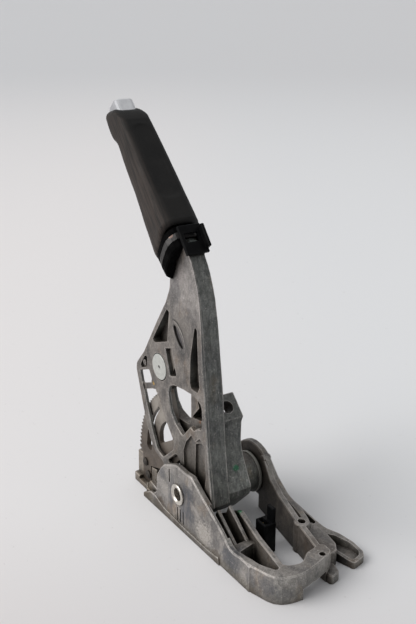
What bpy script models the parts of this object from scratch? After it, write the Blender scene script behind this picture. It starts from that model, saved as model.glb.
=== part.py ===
"""Parking brake lever: a cast lever with a padded grip, a push button and rod that lift a pawl off a
toothed sector, and the cast bracket that carries them.

Metres, +Z up. The bracket stands on Z = 0, the pivot axis runs along Y at X = 0, and Y = 0 is the middle
of the bracket's near cheek. The grip leans towards -X, and -Y is the near side. Sizes below are in
millimetres, with Y = 0 in the lever's middle plane, and bracket_frame shifts them by the cheek's place."""

import math

import bmesh
import bpy
from mathutils import Matrix, Vector

MM = 0.001
GAP = 0.3

# Pivot and layers across the width, in millimetres
PIVOT_HEIGHT = 29.5
LEVER_DEPTH = 17.0
NEAR_WEB = 3.4
SECTOR_THICKNESS = 4.0
SIDE_CLEARANCE = 0.4
CHEEK_GAP = 1.4
CHEEK_WALL = 5.0
HUB_REACH = 45.0
HUB_END_GAP = 1.4
FAR_WALL = 6.0

# Pivot parts
TUBE_RADIUS = 6.6
TUBE_WALL = 1.4
FLARE_RADIUS = 8.5
FLARE_THICKNESS = 1.5
BUSH_WALL = 1.6
BUSH_LENGTH = 13.0
HUB_RADIUS = 16.0
LEVER_BOSS = 22.0
WASHER_RADIUS = 13.0
WASHER_THICKNESS = 0.8
RETAINER_RADIUS = 11.0
RETAINER_THICKNESS = 1.6

# Toothed sector and pawl
SECTOR_RADIUS = 80.8
TOOTH_HEIGHT = 2.2
TOOTH_PITCH = 2.75
TOOTH_LAND = 0.3
NOSE_ANGLE = 126.0
TEETH_RAISED = 3
TEETH_LOWERED = 18
SECTOR_INNER = 25.0
PAWL_PIN = (-37.2, 93.0)
PIN_RADIUS = 4.0
PIN_HEAD_RADIUS = 10.5
PIN_HEAD_THICKNESS = 1.5
PAWL_HUB = 9.0
TAIL_ARM = 30.0
CLIP_RADIUS = 6.6
CLIP_THICKNESS = 1.0
SPRING_WIRE = 1.4
SPRING_TURNS = 3

# Grip, stem, rod and button
GRIP_LEAN = 43.2
GRIP_FOOT = (-20.6, 194.9)
GRIP_LENGTH = 117.0
GRIP_DEPTH = 36.2
GRIP_WIDTH = 34.4
GRIP_TAPER = 0.25
COLLAR_SLANT = 0.33
TIP_SLANT = -0.5
COVER_THICKNESS = 2.6
STEM_RADIUS = 9.0
STEM_BORE = 6.0
STEM_LENGTH = GRIP_LENGTH - 37.0
CORE_END = GRIP_LENGTH - 10.0
BUTTON_WIDTH = 16.6
BUTTON_DEPTH = 15.4
BUTTON_STAND = 9.0
BUTTON_ROOM = 15.0
BUTTON_TRAVEL = 6.0
ROD_RADIUS = 2.0
GUIDE_LENGTH = 8.0
COIL_RADIUS = 4.6
COIL_WIRE = 1.2
COIL_TURNS = 7
COLLAR_HEIGHT = 15.0
RING_HEIGHT = 4.0
BAND_HEIGHT = 4.6
CAP_ROOF = 2.2

# Bracket
FRONT_HEIGHT = 22.0
FRAME_WALL = 5.0
RIB_WALL = 2.8
FLOOR_PLATE = 7.0
ARCH_HEIGHT = 9.0
BOSS_RADIUS = 6.0
BOSS_HOLE = 3.0
RIVET_RADIUS = 2.5
RIVET_HEAD = 3.6

# Layers worked out from the sizes above
NEAR_FACE = -LEVER_DEPTH / 2
FAR_FACE = LEVER_DEPTH / 2
WEB_INNER = NEAR_FACE + NEAR_WEB
SECTOR_NEAR = WEB_INNER + SIDE_CLEARANCE
SECTOR_FAR = SECTOR_NEAR + SECTOR_THICKNESS
FAR_WEB = SECTOR_FAR + SIDE_CLEARANCE
SECTOR_MIDDLE = (SECTOR_NEAR + SECTOR_FAR) / 2
CHEEK_INNER = NEAR_FACE - CHEEK_GAP
CHEEK_OUTER = CHEEK_INNER - CHEEK_WALL
CHEEK_MIDDLE = (CHEEK_INNER + CHEEK_OUTER) / 2
HUB_END = FAR_FACE + HUB_REACH
FAR_INNER = HUB_END + HUB_END_GAP
FAR_OUTER = FAR_INNER + FAR_WALL
LEVER_BORE = TUBE_RADIUS + BUSH_WALL + 2 * GAP
ROOT_RADIUS = SECTOR_RADIUS - TOOTH_HEIGHT

COLLECTION = "parking_brake_lever"


def clear_scene():
    for item in list(bpy.data.objects):
        bpy.data.objects.remove(item, do_unlink=True)


def collection(name):
    found = bpy.data.collections.get(name)
    if found is None:
        found = bpy.data.collections.new(name)
        bpy.context.scene.collection.children.link(found)
    return found


def material(name, colour, roughness, metallic):
    made = bpy.data.materials.new(name)
    made.use_nodes = True
    shader = made.node_tree.nodes["Principled BSDF"]
    shader.inputs["Base Color"].default_value = (*colour, 1)
    shader.inputs["Roughness"].default_value = roughness
    shader.inputs["Metallic"].default_value = metallic
    return made


def polar(radius, degrees, centre=(0, 0)):
    angle = math.radians(degrees)
    return (centre[0] + radius * math.cos(angle), centre[1] + radius * math.sin(angle))


def arc(radius, start, end, steps, centre=(0, 0)):
    return [polar(radius, start + (end - start) * i / steps, centre) for i in range(steps + 1)]


def rounded(corners, step=24):
    """The outline through these corners, each (u, v) or (u, v, fillet radius)."""
    points = []
    count = len(corners)
    for i, corner in enumerate(corners):
        here = Vector(corner[:2])
        radius = corner[2] if len(corner) > 2 else 0
        before = Vector(corners[i - 1][:2]) - here
        after = Vector(corners[(i + 1) % count][:2]) - here
        if radius <= 0 or before.length < 1e-6 or after.length < 1e-6:
            points.append(tuple(here))
            continue
        turn = math.pi - before.angle(after)
        reach = min(radius * math.tan(turn / 2), 0.48 * before.length, 0.48 * after.length)
        if turn < 0.05:
            points.append(tuple(here))
            continue
        radius = reach / math.tan(turn / 2)
        start = here + before.normalized() * reach
        end = here + after.normalized() * reach
        middle = (start + end) / 2
        centre = here + (middle - here).normalized() * (radius / math.cos(turn / 2))
        steps = max(1, math.ceil(math.degrees(turn) / step))
        first = start - centre
        way = 1 if first.x * (end - centre).y - first.y * (end - centre).x > 0 else -1
        for k in range(steps + 1):
            spun = Matrix.Rotation(way * turn * k / steps, 2) @ first
            points.append(tuple(centre + spun))
    return points


def meshed(source):
    """A mesh object in place of a curve or of an object with modifiers, with its caps welded."""
    bpy.context.view_layer.update()
    graph = bpy.context.evaluated_depsgraph_get()
    mesh = bpy.data.meshes.new_from_object(source.evaluated_get(graph))
    mesh.transform(source.matrix_world)
    shape = bmesh.new()
    shape.from_mesh(mesh)
    bmesh.ops.remove_doubles(shape, verts=shape.verts, dist=2e-6)
    bmesh.ops.recalc_face_normals(shape, faces=shape.faces)
    shape.to_mesh(mesh)
    shape.free()
    made = bpy.data.objects.new(source.name + "_mesh", mesh)
    collection("helpers").objects.link(made)
    bpy.data.objects.remove(source, do_unlink=True)
    return made


def plate(outlines, low, high, edge=0.0, inset=0.0):
    """A flat plate in the XZ plane from Y = low to high, its first outline outside and the rest holes."""
    flat = bpy.data.curves.new("plate", "CURVE")
    flat.dimensions = "2D"
    flat.fill_mode = "BOTH"
    flat.extrude = ((high - low) / 2 - edge) * MM
    flat.bevel_depth = edge * MM
    flat.bevel_resolution = 0
    flat.offset = -(edge + inset) * MM
    for points in outlines:
        spline = flat.splines.new("POLY")
        spline.points.add(len(points) - 1)
        for point, (u, v) in zip(spline.points, points):
            point.co = (u * MM, v * MM, 0, 1)
        spline.use_cyclic_u = True
    made = bpy.data.objects.new("plate", flat)
    collection("helpers").objects.link(made)
    made.rotation_euler = (math.pi / 2, 0, 0)
    made.location = (0, (low + high) / 2 * MM, 0)
    return meshed(made)


def turned_over(thing, matrix):
    thing.data.transform(matrix)
    if matrix.determinant() < 0:
        thing.data.flip_normals()
    return thing


def moved(thing, x=0.0, y=0.0, z=0.0):
    return turned_over(thing, Matrix.Translation((x * MM, y * MM, z * MM)))


def slab(outlines, low, high, edge=0.0):
    """A flat plate in the XY plane from Z = low to high."""
    made = plate(outlines, -high, -low, edge)
    return turned_over(made, Matrix.Rotation(-math.pi / 2, 4, "X"))


def lathe(profile, segments=32):
    """A turned shape about Z. The profile's (radius, height) points run down its outer side first."""
    mesh = bpy.data.meshes.new("lathe")
    closed = min(radius for radius, _ in profile) > 0
    points = [(radius * MM, 0, height * MM) for radius, height in profile]
    edges = [(i, i + 1) for i in range(len(points) - 1)]
    if closed:
        edges.append((len(points) - 1, 0))
    mesh.from_pydata(points, edges, [])
    made = bpy.data.objects.new("lathe", mesh)
    collection("helpers").objects.link(made)
    screw = made.modifiers.new("Screw", "SCREW")
    screw.axis = "Z"
    screw.steps = segments
    screw.render_steps = segments
    screw.use_merge_vertices = True
    screw.merge_threshold = 1e-6
    return meshed(made)


def along_y(thing):
    """Turns a shape made about Z so that its height runs along +Y."""
    return turned_over(thing, Matrix.Rotation(-math.pi / 2, 4, "X"))


def rod(radius, low, high, chamfer=0.0, segments=32):
    c = chamfer
    if c:
        profile = [(0, high), (radius - c, high), (radius, high - c), (radius, low + c)]
        profile += [(radius - c, low), (0, low)]
    else:
        profile = [(0, high), (radius, high), (radius, low), (0, low)]
    return lathe(profile, segments)


def ring(outer, inner, low, high, chamfer=0.0, segments=32):
    c = chamfer
    if c:
        sides = [(outer - c, high), (outer, high - c), (outer, low + c), (outer - c, low)]
    else:
        sides = [(outer, high), (outer, low)]
    return lathe(sides + [(inner, low), (inner, high)], segments)


def wire(points, radius, sides=2):
    """A round wire along these (x, y, z) points, with filled caps."""
    line = bpy.data.curves.new("wire", "CURVE")
    line.dimensions = "3D"
    line.bevel_depth = radius * MM
    line.bevel_resolution = sides
    line.use_fill_caps = True
    spline = line.splines.new("POLY")
    spline.points.add(len(points) - 1)
    for point, place in zip(spline.points, points):
        point.co = (*(c * MM for c in place), 1)
    made = bpy.data.objects.new("wire", line)
    collection("helpers").objects.link(made)
    return meshed(made)


def smooth_path(corners, radius, steps=4):
    """Points along straight runs through these 3D corners, each corner turned into an arc-like bend."""
    points = [Vector(corners[0])]
    for before, here, after in zip(corners, corners[1:], corners[2:]):
        here = Vector(here)
        back = Vector(before) - here
        ahead = Vector(after) - here
        reach = min(radius, 0.45 * back.length, 0.45 * ahead.length)
        start = here + back.normalized() * reach
        end = here + ahead.normalized() * reach
        for k in range(steps + 1):
            t = k / steps
            points.append(start * (1 - t) ** 2 + here * 2 * t * (1 - t) + end * t * t)
    points.append(Vector(corners[-1]))
    return [tuple(p) for p in points]


def box(low, high, bevel=0.0):
    """A box between two corners, with its edges bevelled."""
    bpy.ops.mesh.primitive_cube_add(size=1)
    made = bpy.context.object
    made.scale = [(b - a) * MM for a, b in zip(low, high)]
    made.location = [(a + b) / 2 * MM for a, b in zip(low, high)]
    for owner in list(made.users_collection):
        owner.objects.unlink(made)
    collection("helpers").objects.link(made)
    made = meshed(made)
    if bevel:
        rounding = made.modifiers.new("Bevel", "BEVEL")
        rounding.width = bevel * MM
        rounding.segments = 1
        made = meshed(made)
    return made


def boolean(target, tools, operation):
    """Applies the tools to the target and removes them."""
    for tool in tools:
        step = target.modifiers.new(operation, "BOOLEAN")
        step.operation = operation
        step.object = tool
        step.solver = "EXACT"
    made = meshed(target)
    for tool in tools:
        bpy.data.objects.remove(tool, do_unlink=True)
    return made


def joined(first, *others):
    return boolean(first, others, "UNION")


def cut(target, *tools):
    return boolean(target, tools, "DIFFERENCE")


def common(target, tool):
    return boolean(target, [tool], "INTERSECT")


def loft(sections):
    """A closed skin through rings of equally many (x, y, z) points, capped at both ends."""
    shape = bmesh.new()
    rings = [[shape.verts.new([c * MM for c in point]) for point in section] for section in sections]
    for lower, upper in zip(rings, rings[1:]):
        count = len(lower)
        for i in range(count):
            j = (i + 1) % count
            shape.faces.new((lower[i], lower[j], upper[j], upper[i]))
    shape.faces.new(rings[0][::-1])
    shape.faces.new(rings[-1])
    bmesh.ops.recalc_face_normals(shape, faces=shape.faces)
    mesh = bpy.data.meshes.new("loft")
    shape.to_mesh(mesh)
    shape.free()
    made = bpy.data.objects.new("loft", mesh)
    collection("helpers").objects.link(made)
    return made


def part(thing, name, finish, frame):
    """Hands a finished shape over as a named part, carried by the given frame."""
    thing.name = name
    thing.data.name = name
    thing.data.materials.clear()
    thing.data.materials.append(finish)
    collection("helpers").objects.unlink(thing)
    collection(COLLECTION).objects.link(thing)
    thing.data.shade_smooth()
    thing.data.set_sharp_from_angle(angle=math.radians(35))
    thing.parent = frame
    return thing


def frame_at(name, place, parent=None, lean=0.0):
    made = bpy.data.objects.new(name, None)
    collection(COLLECTION).objects.link(made)
    made.parent = parent
    made.location = [c * MM for c in place]
    made.rotation_euler = (0, -math.radians(lean), 0)
    made.empty_display_size = 0.02
    return made


def finishes():
    return {
        "casting": material("cast_alloy", (0.29, 0.26, 0.235), 0.55, 0.6),
        "lever": material("cast_lever", (0.30, 0.275, 0.25), 0.5, 0.6),
        "steel": material("brown_steel", (0.14, 0.11, 0.085), 0.5, 0.8),
        "bright": material("bright_steel", (0.62, 0.60, 0.56), 0.3, 1.0),
        "zinc": material("yellow_zinc", (0.55, 0.40, 0.16), 0.35, 0.9),
        "black": material("black_plastic", (0.02, 0.02, 0.02), 0.45, 0.0),
        "bush": material("bearing_plastic", (0.45, 0.42, 0.36), 0.5, 0.0),
        "leather": material("grip_leather", (0.035, 0.032, 0.03), 0.6, 0.0),
        "button": material("silver_button", (0.52, 0.55, 0.56), 0.35, 0.4),
    }


# Toothed sector


def tooth_angles():
    return [NOSE_ANGLE + TOOTH_PITCH * k for k in range(-TEETH_RAISED, TEETH_LOWERED + 1)]


def sector_edge():
    """The toothed edge, from its raised end to its lowered end. Each tooth stands half a pitch on."""
    points = [polar(SECTOR_RADIUS, NOSE_ANGLE - TOOTH_PITCH * (TEETH_RAISED + 2.5))]
    land = math.degrees(TOOTH_LAND / SECTOR_RADIUS)
    points.append(polar(SECTOR_RADIUS, tooth_angles()[0] - TOOTH_PITCH / 2 + land))
    for angle in tooth_angles():
        points.append(polar(ROOT_RADIUS, angle - land))
        points.append(polar(ROOT_RADIUS, angle + land))
        points.append(polar(SECTOR_RADIUS, angle + TOOTH_PITCH / 2 - land))
        points.append(polar(SECTOR_RADIUS, angle + TOOTH_PITCH / 2 + land))
    return points


FOOT_LEFT, FOOT_RIGHT = -75.7, -62.3
FOOT_BOTTOM = 4.5
RIVETS = ((-66.0, 11.8), (-70.5, 22.0))


def toothed_sector(finish, frame):
    edge = sector_edge()
    last = tooth_angles()[-1] + TOOTH_PITCH / 2
    foot = FOOT_BOTTOM - PIVOT_HEIGHT
    outer = edge + [
        polar(SECTOR_RADIUS, last + 1.2),
        (FOOT_LEFT, polar(SECTOR_RADIUS, last + 1.2)[1] - 1.5),
        (FOOT_LEFT, foot),
        (FOOT_RIGHT, foot),
        (FOOT_RIGHT, -8),
        (-46, -3),
        (-33, -2),
    ]
    outer += arc(SECTOR_INNER, 178, 112, 6)
    outer.append(polar(SECTOR_INNER + 12, 112))
    window = rounded(
        [(*polar(71.6, 130.5), 1), (*polar(71.4, 146), 20), (*polar(70.6, 160), 20), (*polar(69, 173), 3)]
        + [(*polar(61, 174), 3), (*polar(61.4, 160), 15), (*polar(64.6, 149), 15), (*polar(66.8, 141), 15)]
        + [(*polar(68.8, 130.5), 1)]
    )
    inner_window = rounded(
        [(*polar(58.2, 126), 4), (*polar(58, 138), 12), (*polar(56, 146.4), 8), (*polar(50.4, 156), 1.5)]
        + [(*polar(41.5, 124), 3)]
    )
    holes = [arc(RIVET_RADIUS + GAP, 0, 337.5, 15, (x, z - PIVOT_HEIGHT)) for x, z in RIVETS]
    shape = plate([outer, window, inner_window] + holes, SECTOR_NEAR, SECTOR_FAR)
    return part(shape, "toothed_sector", finish["steel"], frame)


def sector_rivets(finish, frame):
    for number, (x, z) in enumerate(RIVETS, 1):
        shank = RIVET_RADIUS
        low, high = SECTOR_NEAR - 2.0, SECTOR_FAR + GAP + CLAMP_WALL + 1.6
        face_near, face_far = SECTOR_NEAR - GAP, SECTOR_FAR + GAP + CLAMP_WALL + GAP
        profile = [
            (0, high), (RIVET_HEAD * 0.6, high), (RIVET_HEAD, face_far + 0.5), (RIVET_HEAD, face_far),
            (shank, face_far), (shank, face_near), (RIVET_HEAD, face_near),
            (RIVET_HEAD, face_near - 0.7), (RIVET_HEAD * 0.6, low), (0, low),
        ]
        rivet = moved(along_y(lathe(profile, 16)), x, 0, z)
        part(rivet, f"sector_rivet_{number}", finish["bright"], frame)


# Pawl and its pin, in the frame of the pawl pin


def pawl_nose_angle_frame(radius, degrees):
    """A point given about the pivot, seen from the pawl pin."""
    x, z = polar(radius, degrees)
    return (x - PAWL_PIN[0], z - PAWL_PIN[1])


def grip_direction():
    lean = math.radians(GRIP_LEAN)
    return (-math.sin(lean), math.cos(lean))


def tail_point():
    """The middle of the pawl's tail pad, square to the rod's travel and TAIL_ARM from the pin."""
    along_x, along_z = grip_direction()
    return (TAIL_ARM * along_z, -TAIL_ARM * along_x)


def pawl(finish, frame):
    land = math.degrees(TOOTH_LAND / SECTOR_RADIUS)
    slack = math.degrees(0.5 / SECTOR_RADIUS)
    half = TOOTH_PITCH / 2
    tip = ROOT_RADIUS + 0.45
    top = SECTOR_RADIUS + 0.6
    tail_x, tail_z = tail_point()
    nose = [
        pawl_nose_angle_frame(top + 2, NOSE_ANGLE - half * 1.25),
        pawl_nose_angle_frame(top, NOSE_ANGLE - half + slack),
        pawl_nose_angle_frame(tip, NOSE_ANGLE - land * 0.4),
        pawl_nose_angle_frame(tip, NOSE_ANGLE + land * 0.4),
        pawl_nose_angle_frame(top, NOSE_ANGLE + half - slack),
        pawl_nose_angle_frame(top + 2, NOSE_ANGLE + half * 1.25),
    ]
    corners = [(*point, 0) for point in nose]
    corners += [(-10.5, -14, 8), (*polar(PAWL_HUB + 1, 175), 6), (*polar(PAWL_HUB + 2.5, 130), 7)]
    corners += [(*polar(PAWL_HUB + 1.5, 85), 7), (tail_x - 7.5, tail_z + 0.5, 5)]
    corners += [(tail_x - 3.2, tail_z, 1.5), (tail_x + 3.2, tail_z - 1.6, 1.5)]
    corners += [(tail_x + 1.0, tail_z - 8.5, 4), (13, -1, 9), (6, -11.5, 8)]
    hole = arc(PIN_RADIUS + GAP, 0, 345, 23)
    shape = plate([rounded(corners, 30), hole], SECTOR_NEAR, SECTOR_FAR, 0.25)
    return part(shape, "pawl", finish["steel"], frame)


PIN_SEAT = 1.2
SEAT_GAP = 0.8


def pawl_pin(finish, frame):
    head_inner = NEAR_FACE + PIN_SEAT - GAP
    head_outer = head_inner - PIN_HEAD_THICKNESS
    end = FAR_FACE + CLIP_THICKNESS + 2.4
    groove = FAR_FACE + GAP
    neck = PIN_RADIUS - 0.8
    shoulder = groove + CLIP_THICKNESS + GAP
    profile = [
        (0, end), (PIN_RADIUS - 0.6, end), (PIN_RADIUS, end - 0.6), (PIN_RADIUS, shoulder),
        (neck, shoulder), (neck, groove), (PIN_RADIUS, groove),
        (PIN_RADIUS, head_inner), (PIN_HEAD_RADIUS, head_inner), (PIN_HEAD_RADIUS, head_outer + 0.3),
        (PIN_HEAD_RADIUS - 0.3, head_outer), (1.6, head_outer), (1.2, head_outer + 0.5),
        (0, head_outer + 0.5),
    ]
    shape = along_y(lathe(profile, 40))
    part(moved(shape, PAWL_PIN[0], 0, PAWL_PIN[1]), "pawl_pin", finish["bright"], frame)
    low = groove + GAP / 2
    inner = neck + GAP
    opening = arc(CLIP_RADIUS, 60, 400 - 20, 20)
    clip = opening + arc(inner, 380, 60, 20)
    shape = plate([clip], low, low + CLIP_THICKNESS - 0.1)
    part(moved(shape, PAWL_PIN[0], 0, PAWL_PIN[1]), "pin_clip", finish["steel"], frame)


def pawl_spring(finish, frame):
    """A torsion spring about the pin's far end: one leg hooks the pawl, the other rests in the lever."""
    radius = PIN_RADIUS + 1.0 + SPRING_WIRE
    start = FAR_FACE + CLIP_THICKNESS + GAP * 2 + 0.4 + SPRING_WIRE / 2
    pitch = SPRING_WIRE + 0.25
    turns = 12
    coil = []
    for i in range(turns * SPRING_TURNS + 1):
        angle = 205 - 360 * i / turns
        x, z = polar(radius, angle)
        coil.append((x, start + pitch * i / turns, z))
    hook = SECTOR_MIDDLE + 0.4
    leg = [(-13.3, hook, -14.6), (-13.3, start, -14.6)]
    path = smooth_path(leg + [coil[0]], 1.5, 3)[:-1] + coil + [(9.5, coil[-1][1], -9.0)]
    shape = wire(path, SPRING_WIRE / 2, 1)
    return part(shape, "pawl_spring", finish["zinc"], frame)


# Lever casting, in the frame of the pivot


def rear_and_throat():
    """The lever's rear edge, from the foot up to the grip, and its front edge down to the pin's boss."""
    return (
        [(38.5, 3.8, 1.2), (34.6, 30, 60), (31.3, 55, 60), (28.6, 88, 60), (24.6, 118, 60), (21.6, 146, 60)]
        + [(18.2, 166, 40), (11.5, 183, 30), (3.5, 195, 20), (-3.6, 200.4, 6), (-9.0, 202.6, 2)]
        + [(-21.4, 178.0, 2), (-21.8, 169, 8), (-22.4, 161, 10), (-28, 149, 12), (-38.2, 133.9, 10)]
    )


def pivot_boss():
    """The round boss about the pivot, from its left side round to the lever's foot."""
    return [(-21, -8, 14), (-8, -21.5, 14), (9, -21.5, 14), (20, -12, 8), (29, 1.5, 8)]


def lever_outline():
    """The near web's outline, with the hooked rib on the left."""
    return rounded(
        rear_and_throat()
        + [(-63, 97, 10), (-75.6, 83.5, 6), (-76.4, 77.5, 6), (-65.6, 45.6, 30), (-55.2, 21.7, 8)]
        + [(-47.2, 14.2, 5), (-35, 10.5, 4)]
        + pivot_boss()
    )


def web_windows():
    upper = [(-70.2, 78.2, 2), (-54.8, 84.3, 2), (-50.6, 77.5, 2), (-53.4, 73.2, 1.5), (-67.2, 67.4, 2)]
    lower = [(-64.2, 63.2, 1.5), (-50, 69.0, 2), (-42.2, 71.5, 5), (-37.3, 61.4, 8), (-28.5, 49.4, 10)]
    lower += [(-16.2, 35.2, 5), (-18.4, 28.8, 3), (-34.4, 14.8, 3), (-44.4, 17.4, 5), (-52.6, 33.2, 20)]
    big = [(-24.8, 76, 5), (-22, 82.6, 5), (-15, 85.4, 6), (-2, 87, 10), (14, 87.6, 8), (24.0, 84.0, 5)]
    big += [(24.6, 70, 5), (23.2, 64.2, 1.5), (17.4, 62.6, 1.5), (12.2, 58.4, 1.5), (8.2, 60.4, 1.5)]
    big += [(-3.8, 47.4, 3), (-14.2, 53.4, 5), (-21.4, 61.5, 10)]
    foot = [(-30.2, 12.6, 2), (-13.6, 27.0, 3), (-8.2, 25.6, 3), (-7.0, 15.5, 3)]
    return [rounded(c, 30) for c in (upper, lower, big, foot, small_window())]


def small_window():
    """The dark slot beside the pin's head, which goes on into the body as a deep pocket."""
    points = [(-28.4, 111.4, 0.8), (-19.2, 114.4, 0.8), (-12.2, 95.8, 0.8), (-13.2, 93.8, 1)]
    return points + [(-21.6, 90.8, 0.8)]


def body_outline():
    """The full-depth body, with the pin's boss and the slanting rib on its left."""
    return rounded(
        rear_and_throat()
        + [(-52, 113.5, 8), (-53, 92, 12), (-49, 76, 10), (-45.5, 62, 14), (-36, 44, 12), (-22.5, 25, 10)]
        + [(-22, 4, 12)]
        + pivot_boss()
    )


def body_windows():
    big = [(-39.6, 71.5, 4), (-36.4, 62, 6), (-30, 55.6, 5), (-20, 53.2, 4), (-6.5, 54.2, 3), (-4, 60, 3)]
    big += [(-4, 84, 4), (-14, 85.5, 5), (-26, 80.5, 6)]
    return [rounded(big, 30)]


def from_grip(x, z):
    """A point given in the grip's frame, seen from the pivot."""
    lean = math.radians(GRIP_LEAN)
    along = (-math.sin(lean), math.cos(lean))
    return (GRIP_FOOT[0] + x * along[1] + z * along[0], GRIP_FOOT[1] - x * along[0] + z * along[1])


def slot_outline():
    """The slot that clears the sector through the whole travel, the pawl's swing and the rod."""
    clear = SECTOR_RADIUS + 1.6
    x, z = PAWL_PIN
    rod_x = x + tail_point()[0]
    left, right = rod_x - ROD_RADIUS - 0.7, rod_x + ROD_RADIUS + 4.9
    room = PAWL_HUB + 5.5
    points = arc(LEVER_BOSS, 236, 80, 10)
    points += arc(clear, 79, 97, 3)
    points += [(right, 94.0), (right, 184.0), from_grip(3.6, -5), from_grip(3.6, 8), from_grip(-3.4, 8)]
    points += [(left, 186.0), (left, z + 27.5), (x + 9, z + 25), (x + 1, z + room + 2)]
    points += arc(room, 100, 180, 4, PAWL_PIN)
    points += [(-90, z), (-90, -30), (-40, -45)]
    return points


def hub_outline():
    """The cable arm beside the spine, from its nut seat down to the flat under the hub."""
    return rounded(
        [(9.8, 81, 1), (24.6, 66.2, 1), (22.2, 60.5, 3), (21.6, 43, 14), (25, 33, 14), (36.6, 11.5, 1.5)]
        + [(34.6, 4.5, 1.5), (13.5, -17.5, 4), (0, -20.5, 12), (-14, -15, 12), (-20, 0, 12), (-14, 16, 12)]
        + [(6, 30, 10), (9.5, 58, 10), (3.0, 72.5, 1)]
    )


ARM_WIDTH = 20.5
NUT_SEAT = (17.2, 73.4)
NUT_HOLE = 5.0
THROAT_DEPTHS = [(96, -0.5), (122, 0.35), (144, 1.05), (166, 1.65), (188, 2.0), (216, 2.1)]
NECK_HALF = 6.6


def throat_cutters():
    """What draft takes off each side of the casting towards the grip: two blocks across the lever."""
    made = []
    for side in (-1, 1):
        face = [(side * (FAR_FACE - depth), height) for height, depth in THROAT_DEPTHS]
        low, high = THROAT_DEPTHS[0][0], THROAT_DEPTHS[-1][0]
        block = plate([[(side * 14, low), *face, (side * 14, high)]], -60, 60)
        made.append(turned_over(block, Matrix.Rotation(math.pi / 2, 4, "Z")))
    return made


def stem():
    """The round stem inside the grip, in the pivot's frame."""
    return to_grip(rod(STEM_RADIUS, -10, STEM_LENGTH, 0, 28))


def to_grip(thing):
    """Puts a shape made about Z, with Z = 0 at the grip's lower end, onto the grip's axis."""
    place = Matrix.Translation((GRIP_FOOT[0] * MM, 0, GRIP_FOOT[1] * MM))
    return turned_over(thing, place @ Matrix.Rotation(-math.radians(GRIP_LEAN), 4, "Y"))


def lever_casting(finish, frame):
    web = plate([lever_outline()] + web_windows(), NEAR_FACE, WEB_INNER - 0.4, 0.6)
    body = plate([body_outline()] + body_windows(), NEAR_FACE + NEAR_WEB / 2, FAR_FACE, 0.8, 0.35)
    openings = [plate([window], NEAR_FACE - 1, FAR_WEB, 0, 0.3) for window in web_windows()[:4]]
    shape = cut(joined(cut(body, *openings), web), *near_recesses(), *throat_cutters())
    rim = oval_plate(13.4, 6.8, NEAR_FACE + 0.1, NEAR_FACE + 3, 0.4)
    arm = plate([hub_outline()], FAR_FACE - 1.6, FAR_FACE + ARM_WIDTH, 0.6)
    hub = along_y(rod(HUB_RADIUS, FAR_FACE - 3, HUB_END, 0.8, 40))
    hub_rim = along_y(rod(HUB_RADIUS + 1.2, HUB_END - 2.6, HUB_END, 0.4, 40))
    shape = joined(shape, rim, arm, hub, hub_rim, stem())
    slot = plate([slot_outline()], WEB_INNER, FAR_WEB)
    bore = along_y(rod(LEVER_BORE, NEAR_FACE - 5, HUB_END + 5, 0, 32))
    stem_bore = to_grip(rod(STEM_BORE, -2, STEM_LENGTH + 5, 0, 28))
    seat = along_y(rod(PIN_HEAD_RADIUS + SEAT_GAP, NEAR_FACE - 5, NEAR_FACE + PIN_SEAT, 0, 32))
    pin_hole = along_y(rod(PIN_RADIUS + GAP, NEAR_FACE - 5, FAR_FACE + 5, 0, 24))
    for tool in (seat, pin_hole):
        moved(tool, PAWL_PIN[0], 0, PAWL_PIN[1])
    oval = oval_plate(9.8, 3.4, NEAR_FACE - 5, NEAR_FACE + 1.8)
    shape = cut(shape, slot, bore, stem_bore, seat, pin_hole, oval, *far_recesses())
    return part(shape, "lever_casting", finish["lever"], frame)


OVAL_PLACE = (-8.3, 127.5)


def oval_plate(long_half, short_half, low, high, edge=0.0):
    """A plate with the outline of the bare oval boss on the lever's near side."""
    points = [(u * long_half, v * short_half) for u, v in arc(1, 0, 342, 19)]
    return plate([[rotate_point(point, -50, OVAL_PLACE) for point in points]], low, high, edge)


def near_recesses():
    """Blind recesses in the lever's near side."""
    near = NEAR_FACE - 3
    triangle = [(-26.4, 144.2, 1.5), (-22.9, 142.6, 1.5), (-24.9, 118.2, 2), (-43.6, 111.2, 2)]
    triangle += [(-48, 112.5, 2)]
    long_slot = [(13.6, 142.5, 1.5), (16.8, 140.6, 1.5), (21.6, 97.5, 2), (18.8, 92.4, 2), (9.8, 92.4, 2)]
    long_slot += [(8.2, 96, 2), (8.8, 118, 20)]
    panel = [(9.6, 54.0, 1), (1.8, 45.2, 2), (-2.4, 36, 4), (-1.4, 19, 3), (2, 5, 3), (26, 5, 3)]
    panel += [(30.4, 28, 10), (28.4, 52.6, 3), (21.4, 56.2, 2), (18.2, 53.4, 1), (15.2, 50.6, 1)]
    band = [(-66.6, 68.8), (-51, 75.2), (-48, 68.9), (-63.6, 62.4)]
    deep = [(12.6, 47.5, 2), (11.4, 9, 3), (24.6, 9, 3), (28.8, 28, 10), (26.8, 50.5, 3), (20.4, 51.5, 2)]
    strut = [(4.9, 79.7, 1), (12.7, 79.0, 2), (13.3, 64.5, 2), (-3.0, 61.4, 1), (7.9, 73.6, 1)]
    pockets = ((triangle, 7.5), (small_window(), 9.0), (long_slot, 6.5), (panel, 2.0), (band, 1.4))
    pockets += ((deep, 4.0), (strut, LEVER_DEPTH - 2.0))
    made = [plate([rounded(points, 30)], near, NEAR_FACE + depth) for points, depth in pockets]
    corner = [(-68.4, 84.6, 1.5), (-67.6, 81.4, 1.5), (-57.2, 85.6, 1.5), (-56.8, 95.4, 1.5)]
    corner += [(-61.2, 94.0, 1.5)]
    island = arc(2.3, 0, 330, 11, (-61.6, 88.2))
    return made + [plate([rounded(corner, 30), island], near, NEAR_FACE + 2.2)]


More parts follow.
